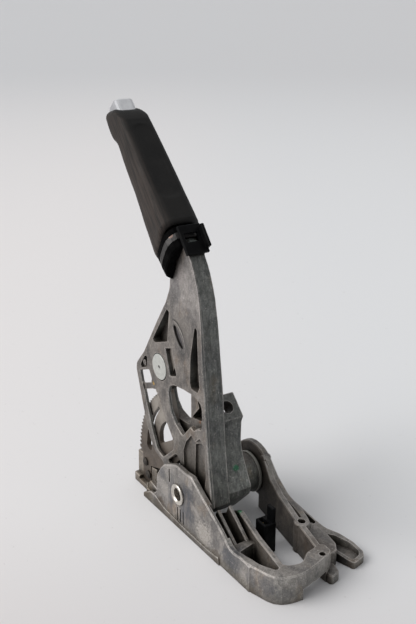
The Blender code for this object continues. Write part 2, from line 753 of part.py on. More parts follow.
def far_recesses():
    """Lightening pockets in the lever's far side and the hole through the cable arm's nut seat."""
    upper = [(13.5, 150, 3), (17.0, 118, 10), (8, 100, 4), (1.5, 104, 4), (2, 146, 4)]
    tools = [plate([rounded(upper, 30)], FAR_WEB + 3.2, FAR_FACE + 4)]
    hole = rod(NUT_HOLE, -16, 16, 0, 24)
    place = Matrix.Translation([c * MM for c in (NUT_SEAT[0], FAR_FACE + ARM_WIDTH / 2, NUT_SEAT[1])])
    tools.append(turned_over(hole, place @ Matrix.Rotation(math.pi / 4, 4, "Y")))
    return tools


def rotate_point(point, degrees, centre):
    angle = math.radians(degrees)
    u, v = point
    return (
        centre[0] + u * math.cos(angle) - v * math.sin(angle),
        centre[1] + u * math.sin(angle) + v * math.cos(angle),
    )


# Grip, collar, button and rod, in the frame of the grip

REAR_CORNER, REAR_SWELL, FRONT_CORNER = 7.0, 4.0, 14.0


def oblong(height, width, depth, rear, front, shift=0.0, slant=0.0, steps=4):
    """A rounded section across the grip's axis. X runs across its depth, +X at the rear."""
    points = []
    corners = ((1, 1, 0, rear), (-1, 1, 90, front), (-1, -1, 180, front), (1, -1, 270, rear))
    for side_x, side_y, start, radius in corners:
        centre = (side_x * (depth / 2 - radius), side_y * (width / 2 - radius))
        points += arc(radius, start, start + 90, steps, centre)
    return [(x + shift, y, height + slant * (x + shift)) for x, y in points]


def grip_section(share, inset=0.0):
    """The grip's section at a share of its length, with its finger swell and its slanted ends."""
    size = 1 - GRIP_TAPER * share
    swell = 1.6 * math.exp(-(((share - 0.97) / 0.09) ** 2))
    swell -= 0.9 * math.exp(-(((share - 0.78) / 0.07) ** 2))
    close = 1 - 0.24 * max(0, (share - 0.955) / 0.045) ** 2 - 0.05 * max(0, (0.03 - share) / 0.03)
    slant = COLLAR_SLANT * max(0, 1 - share / 0.35) + TIP_SLANT * max(0, (share - 0.7) / 0.3)
    depth = (GRIP_DEPTH * size + swell) * close - 2 * inset
    width = GRIP_WIDTH * size * close - 2 * inset
    rear = max((REAR_CORNER + REAR_SWELL * (1 - share) ** 2) * size - inset, 1.5)
    front = max(FRONT_CORNER * size * close - inset, 3)
    return oblong(share * GRIP_LENGTH, width, depth, rear, front, -swell / 2, slant)


GRIP_SHARES = (0, 0.03, 0.16, 0.35, 0.55, 0.7, 0.78, 0.86, 0.93, 0.965, 0.985, 1.0)


def button_section(height, gap=0.0, inset=0.0):
    width, depth = BUTTON_WIDTH + 2 * gap - 2 * inset, BUTTON_DEPTH + 2 * gap - 2 * inset
    return oblong(height, width, depth, 3.5 + gap - inset, 3.5 + gap - inset, 0, 0, 3)


def grip(finish, frame):
    cover = loft([grip_section(share) for share in GRIP_SHARES])
    inner = [grip_section(share, COVER_THICKNESS) for share in GRIP_SHARES if 0.1 < share < 0.95]
    start = [(x, y, z - 30) for x, y, z in inner[0]]
    opening = loft([button_section(h, 0.6) for h in (CORE_END - 20, GRIP_LENGTH + 30)])
    cavity = joined(loft([start] + inner), opening)
    part(cut(cover, cavity), "grip_cover", finish["leather"], frame)
    shares = [share for share in GRIP_SHARES if 0.1 < share < 0.91]
    inner = [grip_section(share, COVER_THICKNESS + GAP) for share in shares]
    start = [(x, y, z - 30) for x, y, z in inner[0]]
    core = loft([start] + inner)
    below = loft([oblong(h, 60, 60, 2, 2, 0, COLLAR_SLANT) for h in (-40, 3.8)])
    bore = rod(STEM_RADIUS + GAP, -20, STEM_LENGTH + GAP, 0, 28)
    room = loft([button_section(h, GAP) for h in (CORE_END - BUTTON_ROOM, GRIP_LENGTH + 30)])
    core = cut(core, below, bore, room, rod(COIL_RADIUS + 0.6, STEM_LENGTH - 6, CORE_END, 0, 24))
    part(core, "grip_core", finish["black"], frame)


def hoop(low, high, width, depth, slant=COLLAR_SLANT):
    """A block across the grip's lower end between two slanted faces."""
    rear, front = min(REAR_CORNER + REAR_SWELL, width / 2.6), min(FRONT_CORNER, width / 2.4)
    return loft([oblong(h, width, depth, rear, front, 0, slant) for h in (low, high)])


def collar(finish, frame):
    """The ring under the cover, the clamp band and the end cap that the lever's neck comes out of."""
    flange = hoop(-RING_HEIGHT, -GAP, GRIP_WIDTH - 1.6, GRIP_DEPTH - 1.6)
    collar_ring = joined(flange, hoop(-1.2, 3.5, GRIP_WIDTH - 8.4, GRIP_DEPTH - 8.4))
    part(cut(collar_ring, rod(STEM_RADIUS + GAP, -30, 30, 0, 28)), "collar_ring", finish["black"], frame)
    band_top = -RING_HEIGHT - GAP
    band_low = band_top - BAND_HEIGHT
    band = cut(
        hoop(band_low, band_top, GRIP_WIDTH - 2.0, GRIP_DEPTH - 2.0),
        hoop(band_low - 5, band_top + 5, GRIP_WIDTH - 4.4, GRIP_DEPTH - 4.4),
    )
    part(band, "clamp_band", finish["steel"], frame)
    rear, front = REAR_CORNER + REAR_SWELL, min(12.0, GRIP_WIDTH / 2.8)
    cap = joined(
        hoop(band_low - 3, band_top, GRIP_WIDTH - 5.0, GRIP_DEPTH - 5.0),
        loft([
            oblong(h, GRIP_WIDTH - less, GRIP_DEPTH - less, rear, front, 0, COLLAR_SLANT)
            for h, less in ((-COLLAR_HEIGHT, 4.6), (-COLLAR_HEIGHT + 1.2, 3.2), (band_low - GAP, 2.6))
        ]),
    )
    roof = band_top - CAP_ROOF
    rise = COLLAR_SLANT * 40
    neck = [(-13.3, roof - COLLAR_SLANT * 13.3), (-20.6, roof - 15.6), (-20.6, -40), (40, -40)]
    neck.append((40, roof + rise))
    neck = plate([neck], -NECK_HALF - GAP, NECK_HALF + GAP)
    part(cut(cap, neck, rod(STEM_RADIUS + GAP, -30, 30, 0, 28)), "collar_cap", finish["black"], frame)


def rod_path(end):
    """The push rod's centre line in the pivot's frame, from the button down to the pawl's tail."""
    rod_x = PAWL_PIN[0] + tail_point()[0]
    tail_z = PAWL_PIN[1] + tail_point()[1]
    ux, uz = grip_direction()
    reach = (rod_x - GRIP_FOOT[0]) / ux
    top, straight, low = from_grip(0, end), from_grip(0, 38), from_grip(0, 6)
    return [
        (top[0], 0, top[1]),
        (straight[0], 0, straight[1]),
        (low[0], SECTOR_MIDDLE, low[1]),
        (rod_x, SECTOR_MIDDLE, GRIP_FOOT[1] + reach * uz),
        (rod_x, SECTOR_MIDDLE, tail_z + GAP + 0.5),
    ]


def button_and_rod(finish, frame, pivot):
    top = GRIP_LENGTH + BUTTON_STAND
    low = CORE_END - BUTTON_ROOM + BUTTON_TRAVEL + 1.4
    sections = [(low, 0.4), (low + 0.6, 0), (top - 2.0, 0), (top - 0.6, 0.8), (top, 2.0)]
    body = loft([button_section(height, 0, inset) for height, inset in sections])
    socket = rod(ROD_RADIUS + GAP, low - 5, low + 9, 0, 20)
    part(cut(body, socket), "push_button", finish["button"], frame)
    shape = wire(smooth_path(rod_path(low + 9 - GAP), 6, 3), ROD_RADIUS, 2)
    part(shape, "push_rod", finish["bright"], pivot)
    guide_low = STEM_LENGTH - GUIDE_LENGTH - 12
    guide = ring(STEM_BORE - GAP, ROD_RADIUS + GAP, guide_low, guide_low + GUIDE_LENGTH, 0.5, 24)
    part(guide, "rod_guide", finish["bush"], frame)
    turns = 10
    first = guide_low + GUIDE_LENGTH + GAP + COIL_WIRE / 2
    last = low - GAP - COIL_WIRE / 2
    count = turns * COIL_TURNS
    points = [
        (*polar(COIL_RADIUS - COIL_WIRE / 2, 360 * i / turns), first + (last - first) * i / count)
        for i in range(count + 1)
    ]
    part(wire(points, COIL_WIRE / 2, 1), "button_spring", finish["bright"], frame)


CLIP_PLACE = (GRIP_DEPTH / 2 + 1.1, -5.4)
CLIP_LEAN = 4.0


def boot_clip(finish, frame):
    """The black plastic clip with a window on the rear of the collar, with its raised wing."""
    shell = box((0, -9.4, -14), (2.6, 9.6, 9), 0.5)
    window = box((-5, -6.4, -4.6), (8, 5.0, 2.6))
    foot = box((-1.6, -5.6, 4.2), (0.4, 5.6, 7.4))
    wing = box((1.4, 7.0, -11.4), (7.4, 9.6, 6.4), 0.4)
    clip = cut(joined(shell, wing, foot), window)
    place = Matrix.Translation([c * MM for c in (CLIP_PLACE[0], 0, CLIP_PLACE[1])])
    clip = turned_over(clip, place @ Matrix.Rotation(math.radians(CLIP_LEAN), 4, "Y"))
    part(clip, "boot_clip", finish["black"], frame)


# Pivot tube, bushes and washers, in the frame of the pivot


def pivot_parts(finish, frame):
    near_end = CHEEK_OUTER - GAP - FLARE_THICKNESS
    far_end = FAR_OUTER + GAP + RETAINER_THICKNESS + GAP + 1.6
    groove = FAR_OUTER + GAP
    inner = TUBE_RADIUS - TUBE_WALL
    profile = [
        (inner, far_end), (TUBE_RADIUS, far_end), (TUBE_RADIUS, CHEEK_OUTER - GAP),
        (FLARE_RADIUS, CHEEK_OUTER - GAP), (FLARE_RADIUS, near_end + 0.5), (FLARE_RADIUS - 0.6, near_end),
        (inner + 1.2, near_end), (inner, near_end + 1.0),
    ]
    part(along_y(lathe(profile, 40)), "pivot_tube", finish["bright"], frame)
    outer = TUBE_RADIUS + GAP + BUSH_WALL
    for name, low, high in (
        ("near_bush", NEAR_FACE, NEAR_FACE + BUSH_LENGTH),
        ("far_bush", HUB_END - BUSH_LENGTH, HUB_END),
    ):
        part(along_y(ring(outer, TUBE_RADIUS + GAP, low, high, 0.4, 32)), name, finish["bush"], frame)
    middle = (NEAR_FACE + CHEEK_INNER) / 2
    places = (("near_washer", middle), ("far_washer", (HUB_END + FAR_INNER) / 2))
    for name, place in places:
        half = WASHER_THICKNESS / 2
        part(
            along_y(ring(WASHER_RADIUS, TUBE_RADIUS + GAP, place - half, place + half, 0, 32)),
            name, finish["bright"], frame,
        )
    low = groove
    shape = ring(RETAINER_RADIUS, TUBE_RADIUS + GAP, low, low + RETAINER_THICKNESS, 0.3, 32)
    part(along_y(shape), "pivot_retainer", finish["steel"], frame)


# Bracket, in world coordinates. Its pieces reach different depths below the floor and are cut off there.

UNDER = -6.0
CHEEK_UNDER, RIB_UNDER, FRONT_UNDER, INNER_UNDER, SILL_UNDER = (UNDER - 1 - i for i in range(5))
FAR_CHEEK_UNDER, STRUT_UNDER, WEB_UNDER, FOOT_UNDER, ARM_UNDER = (UNDER - 6 - i for i in range(5))
LEFT_UNDER, BACK_UNDER, POST_UNDER, BRACE_UNDER, BOSS_UNDER = (UNDER - 11 - i for i in range(5))
LEDGE_UNDER = UNDER - 16
CLAMP_WALL = 4.5
POST_DEPTH = 0.6
LUG_RADIUS = 2.6


def near_cheek_outline():
    p = PIVOT_HEIGHT
    return rounded(
        [(-57, CHEEK_UNDER), (-56, 1), (-53, 3.5, 2), (-38.2, 11.6, 3), (-35.2, 15.4, 2)]
        + [(-34.6, p + 0.4, 6), (-28.4, p + 9.6, 10), (-22.4, p + 15.8, 6), (-14, p + 19.6, 14)]
        + [(-3.7, p + 23.8, 8), (10, p + 23.3, 6), (18.8, p + 24.4, 3), (34, p + 15, 30)]
        + [(55.4, p + 3.2, 60), (64.1, p - 2.4, 20), (70.9, p - 8.2, 8), (77.6, FRONT_HEIGHT - 1.8, 10)]
        + [(88, FRONT_HEIGHT + 0.7, 20), (97, FRONT_HEIGHT - 1.4, 0), (97, CHEEK_UNDER)], 30,
    )


def ledge_outline():
    """The raised ledge along the foot of the near cheek."""
    low = LEDGE_UNDER
    return rounded(
        [(-56.4, low), (-55.9, 3.2), (-44, 10.2, 4), (-36.4, 10.4, 4), (-21.4, 6.2, 10), (9, 4.4, 20)]
        + [(44.9, 4.4, 10), (58, 6, 2), (64, low)], 30,
    )


def rib_outline(crest, end):
    """A rib under the lever, its top sloping down from the crest towards the front shelf."""
    p = PIVOT_HEIGHT
    low = RIB_UNDER - crest[0] / 100
    return rounded(
        [(27, low), (27, 20, 4), (33, p - 6, 4), (39.4, p - 1.6, 1), (*crest, 1), (*end, 2), (71, 12)]
        + [(71, low)]
    )


def behind(points):
    """Plan points given as distances behind the near cheek's outer face."""
    return [(corner[0], CHEEK_OUTER + corner[1], *corner[2:]) for corner in points]


def near_frame():
    """The front corner and crosspiece seen from above, with the pocket behind the front corner."""
    outer = behind(
        [(65, 0.25, 0), (95, 0.25, 26), (120.5, 7, 15), (124.3, 26.5, 22), (119.4, 45.5, 16)]
        + [(114.5, 60, 5), (101, 62, 4), (105, 44, 10), (113.6, 33.5, 9), (109.2, 20.5, 7)]
        + [(95, 21.4, 30), (65, 27.2, 0)]
    )
    pocket = behind([(76, 6, 2), (98, 6.2, 16), (111, 13, 4), (110, 16.4, 3), (84, 20.6, 20), (71.5, 23, 2)])
    solid = slab([rounded(outer)], FRONT_UNDER, FRONT_HEIGHT, 0.8)
    profile = [(30, -40), (160, -40), (160, 60), (96, 60), (96, FRONT_HEIGHT + 0.4)]
    profile += [(84, FRONT_HEIGHT - 1.8), (72, 18.6), (66, 17.4), (30, 17.4)]
    solid = common(solid, plate([profile], CHEEK_OUTER - 30, FAR_OUTER + 30))
    return cut(solid, slab([rounded(pocket)], 3.0, FRONT_HEIGHT + 9))


def slanted_wall(start, end, thickness, low, heights):
    """A wall along a slanting line in plan. Heights are (share along the line, height) pairs."""
    (x0, y0), (x1, y1) = start, end
    length = math.hypot(x1 - x0, y1 - y0)
    outline = [(0, low), *((share * length, height) for share, height in heights), (length, low)]
    made = plate([outline], -thickness / 2, thickness / 2, 0.6)
    turn = Matrix.Rotation(math.atan2(y1 - y0, x1 - x0), 4, "Z")
    return turned_over(made, Matrix.Translation((x0 * MM, y0 * MM, 0)) @ turn)


def far_cheek_outline():
    p = PIVOT_HEIGHT
    top = [(*point, 0) for point in arc(25.5, 150, 38, 8, (0, p))]
    low = FAR_CHEEK_UNDER
    arch = [(24, low), (22, ARCH_HEIGHT + 1, 4), (4, ARCH_HEIGHT + 3, 6), (-12, ARCH_HEIGHT - 2, 4)]
    left = [(-16, low), (-54, low), (-52, 8, 3), (-36, 16, 8)]
    right = [(28, p + 7, 8), (42, p - 2.5, 12), (62, p - 7.5, 12), (72, FRONT_HEIGHT - 6, 8), (72, low)]
    right += [(40, low)]
    return rounded(left + top + right + arch, 30)


def far_arm():
    """The open channel that runs out to the far foot, its walls falling towards the tip."""
    outer = [(18, 58, 2), (30, 63.2, 10), (55, 67, 20), (76, 70.4, 12), (86.3, 76.2, 12), (98, 79.8, 6)]
    outer += [(109, 80, 3), (113.6, 77, 3), (117, 64.8, 2.5), (99, 60.0, 8), (84, 59.4, 6), (40, 57, 5)]
    solid = slab([rounded(outer)], ARM_UNDER, 60)
    profile = [(0, -40), (150, -40), (150, 5.2), (118, 5.5), (111, 5.8), (98, 7.8), (86, 10), (76, 11.4)]
    profile += [(66, 13.6), (55, 16.8), (40, 21.2), (30, 23.8), (0, 31)]
    solid = common(solid, plate([profile], 30, 100))
    channel = [(80.5, 64.4, 2), (85.5, 71, 8), (97, 76.9, 6), (107.6, 77.2, 2.5), (110.8, 74.6, 2.5)]
    channel += [(113.2, 67, 2), (99, 62.9, 6), (85, 62.6, 2)]
    pocket = [(35, 61.6, 1), (46, 64.0, 10), (69, 68.2, 2), (69, 63.4, 2), (52, 59.2, 4)]
    return cut(solid, slab([rounded(channel)], 2.2, 40), slab([rounded(pocket)], 4.0, 60))


def far_frame():
    """The far cheek with its lugs, the strut from it to the crosspiece, and the far foot."""
    p = PIVOT_HEIGHT
    cheek = plate([far_cheek_outline()], FAR_INNER, FAR_OUTER, 0.8)
    strut = slanted_wall(
        (10, FAR_INNER + 2.8), (107, CHEEK_OUTER + 54.8), FRAME_WALL, STRUT_UNDER,
        [(0, p + 17.5), (0.09, p + 16.5), (0.2, p + 6), (0.36, p + 0.5), (0.62, 25.5)]
        + [(0.86, FRONT_HEIGHT + 1.2), (1, FRONT_HEIGHT - 0.4)],
    )
    web = [(62, 60, 2), (66, 50, 3), (92, 41, 4), (106, 43, 3), (105, 58, 4), (97, 63.5, 4), (84, 66, 4)]
    web.append((66, 66, 3))
    web = slab([rounded(web)], WEB_UNDER, 12.4, 0.6)
    foot = behind([(105, 54, 2), (119, 53.5, 2), (122, 55, 2), (119.8, 63, 3), (111, 66, 3), (103, 64, 2)])
    foot = slab([rounded(foot)], FOOT_UNDER, FLOOR_PLATE, 0.8)
    lugs = [
        moved(along_y(rod(LUG_RADIUS, FAR_INNER - 0.9, FAR_OUTER + 0.5, 0.4, 20)), x, 0, z)
        for x, z in ((15.0, p + 17.7), (-16.9, p + 15.5))
    ]
    return joined(cheek, strut, web, foot, far_arm(), *lugs)


def left_frame():
    """The sector's clamp block with its two posts, and the bridge from the near to the far cheek."""
    p = PIVOT_HEIGHT
    near, far = CHEEK_OUTER + 1.6, FAR_OUTER - 1.6
    plan = rounded(
        [(-85, NEAR_FACE - 0.3, 2), (-62, NEAR_FACE - 0.6, 3), (-55, near, 2), (-31, near, 0)]
        + [(-31, CHEEK_INNER - 2.2, 0), (-46, NEAR_FACE + 6, 8), (-46, FAR_INNER - 6, 8)]
        + [(-31, FAR_INNER + 2, 0), (-31, far, 0), (-56, far, 5), (-86, SECTOR_FAR + 12, 14)]
    )
    base = slab([plan], LEFT_UNDER, FLOOR_PLATE, 0.6)
    back = SECTOR_FAR + GAP
    tall = rounded([(-88, BACK_UNDER), (-87, p - 1, 3), (-52, p - 2, 3), (-50.5, BACK_UNDER)])
    wall = plate([tall], back, back + CLAMP_WALL, 0.5)
    face = SECTOR_NEAR + POST_DEPTH
    low, left, right = POST_UNDER, FOOT_LEFT - GAP, FOOT_RIGHT + GAP
    first = rounded([(-86.6, low), (-85.2, p - 2, 2), (left + 1, p - 2, 1.5), (left + 1, low)])
    second = rounded([(right - 1, low), (right - 1, p - 9, 1), (-54.2, p - 8, 1), (-52.2, low)])
    brace = rounded([(-59, BRACE_UNDER), (-53, 15.5, 3), (-37, 11.4, 3), (-37, BRACE_UNDER)])
    shape = joined(
        base, wall, plate([first], face, back + 1.5, 0.4), plate([second], face, back + 1.5, 0.4),
        plate([brace], CHEEK_INNER - 1.6, CHEEK_INNER + 2.2, 0.4),
    )
    tools = [box((left, NEAR_FACE - 2, FOOT_BOTTOM - GAP), (right, back, p + 20))]
    for x, z in RIVETS:
        tools.append(moved(along_y(rod(RIVET_RADIUS + GAP, -20, 20, 0, 16)), x, 0, z))
    well = [(-63, FAR_FACE + 8, 4), (-54, FAR_FACE + 8, 4), (-54, FAR_INNER - 10, 4)]
    well.append((-63, FAR_INNER - 14, 4))
    tools.append(slab([rounded(well)], 2.5, 20))
    return cut(shape, *tools)


FRONT_HOLE = (113.0, CHEEK_OUTER + 52.0)
STRUT_HOLE = (75.5, CHEEK_OUTER + 62.6)


def base_bracket(finish, frame):
    p = PIVOT_HEIGHT
    cheek = plate([near_cheek_outline()], CHEEK_OUTER, CHEEK_INNER, 0.8)
    ledge = plate([ledge_outline()], CHEEK_OUTER - 1.0, CHEEK_OUTER + 1.5, 0.5)
    ribs = [
        plate([rib_outline(crest, end)], CHEEK_OUTER + place, CHEEK_OUTER + place + RIB_WALL, 0.5)
        for crest, end, place in (
            ((41.6, p + 5.4), (65.5, 17.4), 8.6),
            ((42.4, p + 6.2), (66.5, 18.2), 18.4),
        )
    ]
    inner = slanted_wall(
        (22, CHEEK_OUTER + 30.2), (109, CHEEK_OUTER + 19.2), 4.2, INNER_UNDER,
        [(0, 14), (0.12, 22), (0.25, p - 0.5), (0.3, p + 1), (0.62, 24.5), (0.84, FRONT_HEIGHT + 1)]
        + [(1, FRONT_HEIGHT - 0.5)],
    )
    sill = slab([rounded(behind([(24, 1.5), (61, 1.5), (73, 25, 2), (24, 29.5, 2)]))], SILL_UNDER, 4.0, 0.4)
    boss = moved(rod(BOSS_RADIUS, BOSS_UNDER, FRONT_HEIGHT + 2.6, 0.5, 24), *STRUT_HOLE)
    shape = joined(near_frame(), cheek, ledge, inner, sill, *ribs, far_frame(), left_frame(), boss)
    arch = [(66, -30), (160, -30), (160, ARCH_HEIGHT), (66, ARCH_HEIGHT)]
    tools = [
        box((-200, -100, -60), (250, 200, 0)),
        box((41, CHEEK_OUTER + 2.6, 4.5), (65.6, CHEEK_OUTER + 8.6 - GAP, p + 30)),
        plate([arch], CHEEK_OUTER + 27.2, CHEEK_OUTER + 53),
        moved(along_y(rod(TUBE_RADIUS + GAP, CHEEK_OUTER - 5, CHEEK_INNER + 5, 0, 32)), 0, 0, p),
        moved(along_y(rod(TUBE_RADIUS + GAP, FAR_INNER - 5, FAR_OUTER + 5, 0, 32)), 0, 0, p),
        box((-14.5, CHEEK_OUTER - 2, p + 4), (-12.7, CHEEK_OUTER + 0.9, p + 16)),
        moved(rod(BOSS_HOLE, 8, 60, 0, 20), *STRUT_HOLE),
        moved(rod(BOSS_HOLE - 0.6, 12, 60, 0, 20), *FRONT_HOLE),
    ]
    for i in range(3):
        x = -2.2 + 4.2 * i
        tools.append(box((x, CHEEK_OUTER - 2, 5.6), (x + 1.6, CHEEK_OUTER + 0.8, p - 12)))
    return part(cut(shape, *tools), "base_bracket", finish["casting"], frame)


# Lamp connector in the bracket's window, in world coordinates

CONNECTOR_LOW = (55.0, 19.8, 0.0)
CONNECTOR_SIZE = (12.5, 10.4, 25.6)


def lamp_connector(finish, frame):
    x, y, z = CONNECTOR_LOW
    w, d, h = CONNECTOR_SIZE
    housing = box((x, y, z), (x + w, y + d, z + h), 0.6)
    finger = box((x + 4.5, y + d - 3.4, z + h - 8), (x + w - 0.4, y + d - 0.3, z + h + 12), 0.5)
    foot = box((x + 1, CHEEK_OUTER + 28.9, z), (x + w - 1, y + 2, z + 6), 0.4)
    socket = box((x + 1.6, y + 1.4, z + h - 14), (x + w - 1.4, y + d - 5.0, z + h + 5))
    part(cut(joined(housing, finger, foot), socket), "connector_housing", finish["black"], frame)
    for number, shift in enumerate((3.6, 7.4), 1):
        blade = box((x + shift, y + 2.6, z + h - 14 + GAP), (x + shift + 0.8, y + 4.6, z + h - 3))
        part(blade, f"connector_pin_{number}", finish["zinc"], frame)


def build():
    clear_scene()
    finish = finishes()
    root = frame_at("bracket_frame", (0, -CHEEK_MIDDLE, 0))
    base_bracket(finish, root)
    sector_rivets(finish, root)
    lamp_connector(finish, root)
    pivot = frame_at("pivot_frame", (0, 0, PIVOT_HEIGHT), root)
    toothed_sector(finish, pivot)
    pivot_parts(finish, pivot)
    lever_casting(finish, pivot)
    pawl_pin(finish, pivot)
    pawl_frame = frame_at("pawl_frame", (PAWL_PIN[0], 0, PAWL_PIN[1]), pivot)
    pawl(finish, pawl_frame)
    pawl_spring(finish, pawl_frame)
    grip_frame = frame_at("grip_frame", (GRIP_FOOT[0], 0, GRIP_FOOT[1]), pivot, GRIP_LEAN)
    grip(finish, grip_frame)
    collar(finish, grip_frame)
    boot_clip(finish, grip_frame)
    button_and_rod(finish, grip_frame, pivot)


build()
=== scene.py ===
"""The looks of the parking brake lever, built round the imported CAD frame. Places and sizes are in mm."""

import math

import bmesh
import bpy
from mathutils import Matrix, Vector, noise


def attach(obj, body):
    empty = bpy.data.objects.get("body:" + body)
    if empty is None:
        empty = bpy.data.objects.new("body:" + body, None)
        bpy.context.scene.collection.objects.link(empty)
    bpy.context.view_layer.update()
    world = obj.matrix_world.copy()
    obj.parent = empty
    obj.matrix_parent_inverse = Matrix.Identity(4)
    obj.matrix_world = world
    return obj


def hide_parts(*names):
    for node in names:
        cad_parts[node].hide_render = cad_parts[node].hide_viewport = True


MM = 0.001
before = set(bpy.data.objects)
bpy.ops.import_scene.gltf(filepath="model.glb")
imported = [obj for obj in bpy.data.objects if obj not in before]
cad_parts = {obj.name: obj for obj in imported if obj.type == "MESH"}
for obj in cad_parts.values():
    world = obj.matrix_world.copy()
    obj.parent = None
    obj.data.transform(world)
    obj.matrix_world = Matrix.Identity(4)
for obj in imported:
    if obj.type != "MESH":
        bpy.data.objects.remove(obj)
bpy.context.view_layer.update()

# Places and sizes from the CAD source, angles in degrees

MIDDLE_Y = 12.4
PIVOT = (0.0, 29.5)
PAWL_PIN = (-37.2, 122.5)
HUB_END = 66.0
OVAL_PLACE, OVAL_TURN = (-8.3, 157.0), -50.0
GRIP_FOOT = (-20.6, 224.4)
GRIP_LEAN = 43.2
GRIP_LENGTH = 117.0
GRIP_DEPTH = 36.2
GRIP_WIDTH = 34.4
GRIP_TAPER = 0.25
COLLAR_SLANT = 0.33
TIP_SLANT = -0.5
COVER_THICKNESS = 2.6
REAR_CORNER, REAR_SWELL, FRONT_CORNER = 7.0, 4.0, 14.0
CORE_END = 107.0
BUTTON_WIDTH, BUTTON_DEPTH = 16.6, 15.4

GRIP_PLACE = Matrix.Translation((GRIP_FOOT[0] * MM, MIDDLE_Y * MM, GRIP_FOOT[1] * MM)) @ Matrix.Rotation(
    -math.radians(GRIP_LEAN), 4, "Y"
)

# The grip's form, placed by shares of its length: 0 at the collar, 1 at the tip. A name with BELL holds
# a middle and a width, and a name with EASE a start and an end, for the functions bell and ease

COLLAR_SLANT_END, TIP_SLANT_START = 0.35, 0.7
TIP_SWELL, TIP_SWELL_BELL = 1.2, (0.89, 0.06)
NECK_DEPTH, NECK_BELL = 0.9, (0.78, 0.07)
TIP_CLOSING, TIP_CLOSING_START = 0.24, 0.955
COLLAR_CLOSING, COLLAR_CLOSING_END = 0.05, 0.03
LEAST_REAR_CORNER, LEAST_FRONT_CORNER = 1.5, 3.0

# The leather cover's own form. Its profiles hold an inset and a height in mm, or a share and an inset

WAIST_DEPTH, WAIST_CORNER = 0.9, 2.4
WAIST_IN_EASE, WAIST_OUT_EASE = (0.04, 0.45), (0.79, 0.85)
TIP_LIFT, TIP_LIFT_EASE = 3.0, (0.86, 0.99)
REAR_FALL, REAR_FALL_EASE = 7.5, (0.84, 1.0)
REAR_FALL_START, REAR_FALL_SPAN = 3.0, 10.0
HEM_LIFT, HEM_LIFT_EASE, HEM_REAR_EASE = 3.0, (0.0, 0.09), (2.0, 14.0)
HEM_PROFILE = ((1.5, -0.05), (0.7, 0.15), (0.25, 0.55))
HEM_GROOVE, HEM_GROOVE_BELL = 0.28, (3.4, 0.45)
TIP_START = 0.985
TIP_PROFILE = ((TIP_START, 0.0), (0.995, 0.25), (1.0, 0.9), (1.0, 2.2))
INNER_SHARES = (0.905, 0.86, 0.78, 0.7, 0.55, 0.35, 0.16, 0.02)
OPENING_GAP, OPENING_CORNER = 1.2, 4.1
OPENING_LEVELS = ((GRIP_LENGTH - 0.2, TIP_SLANT), (GRIP_LENGTH - 1.2, TIP_SLANT), (CORE_END + 0.6, 0.0))
PANEL_MIDDLE, PANEL_HALF_LENGTH, PANEL_BORDER = 0.55, 29.0, 14.0
PANEL_DEPTH, PANEL_RIM_EASE = 0.7, (4.5, 8.5)
PANEL_FACE_START, PANEL_FACE_END = -2.5, -0.6
SEAM_DEPTH, SEAM_BELL = 0.85, (0.0, 0.75)
LIP_HEIGHT, LIP_BELL = 0.2, (2.3, 1.2)
DENT_DEPTH, WRINKLE_DEPTH = 0.16, 0.05
RING_POINTS, OUTER_RINGS, CORNER_STEPS = 132, 84, 8
STITCH_START, STITCH_PITCH, LAST_STITCH_SHARE = 5.0, 3.6, 0.95
STITCH_WIDTH, STITCH_SLOPE, STITCH_RISE, STITCH_SUNK, STITCH_STEPS = 4.2, 1.2, 0.36, 0.12, 6
THREAD_RADIUS, THREAD_SIDES, THREAD_END = 0.32, 6, 0.55

# The stage. The camera's place and lens are fitted to the photograph, and its angles are in degrees

CAMERA_AZIMUTH, CAMERA_PITCH = 57.5, 20.0
CAMERA_AIM = (19.763, MIDDLE_Y, 183.751)
CAMERA_DISTANCE = 640.17
FOCAL_PIXELS, PICTURE_HEIGHT, SENSOR_HEIGHT = 900.0, 624.0, 36.0
FLOOR_RADIUS_M = 40.0
FLOOR_GAP = 0.2
SKY_COLOUR = (0.985, 0.99, 1.0)
SKY_TOWARDS = (-0.45, -0.85, 0.4)
SKY_SPREAD, SKY_LEVELS = (-0.75, 0.95), (0.15, 0.85)
BACKGROUND_LEVEL = 0.58
WINDOW_TOWARDS = (-0.3, -0.8, 0.62)
WINDOW_COLOUR = (1.0, 0.985, 0.97)
WINDOW_STRENGTH, WINDOW_ANGLE = 2.0, 45.0

# Stains and paint dabs: place on the resting object, radius, colour and, on the castings, strength

GREEN = (0.015, 0.13, 0.06)
BRIGHT_GREEN = (0.039, 0.338, 0.156)
ORANGE = (0.30, 0.10, 0.015)
YELLOW = (0.55, 0.34, 0.05)
PALE_BLUE = (0.8, 0.95, 1.0)
BROWN = (0.085, 0.062, 0.042)
DARK_BLUE = (0.05, 0.055, 0.068)
SOOT = (0.03, 0.03, 0.028)
LEVER_STAINS = (
    ((28.6, 32.0, 55.9), 3.2, GREEN, 0.9),
    ((9.0, 12.1, 92.1), 1.8, ORANGE, 0.8),
    ((-47.6, 3.9, 104.6), 1.8, YELLOW, 0.9),
    ((-6.0, 15.0, 231.0), 4.0, PALE_BLUE, 0.9),
    ((-7.4, 4.0, 205.0), 9.0, (0.32, 0.29, 0.28), 0.5),
    ((-2.0, 4.0, 150.0), 12.0, DARK_BLUE, 0.3),
    ((5.0, 6.0, 57.0), 24.0, (0.09, 0.083, 0.073), 0.75),
)
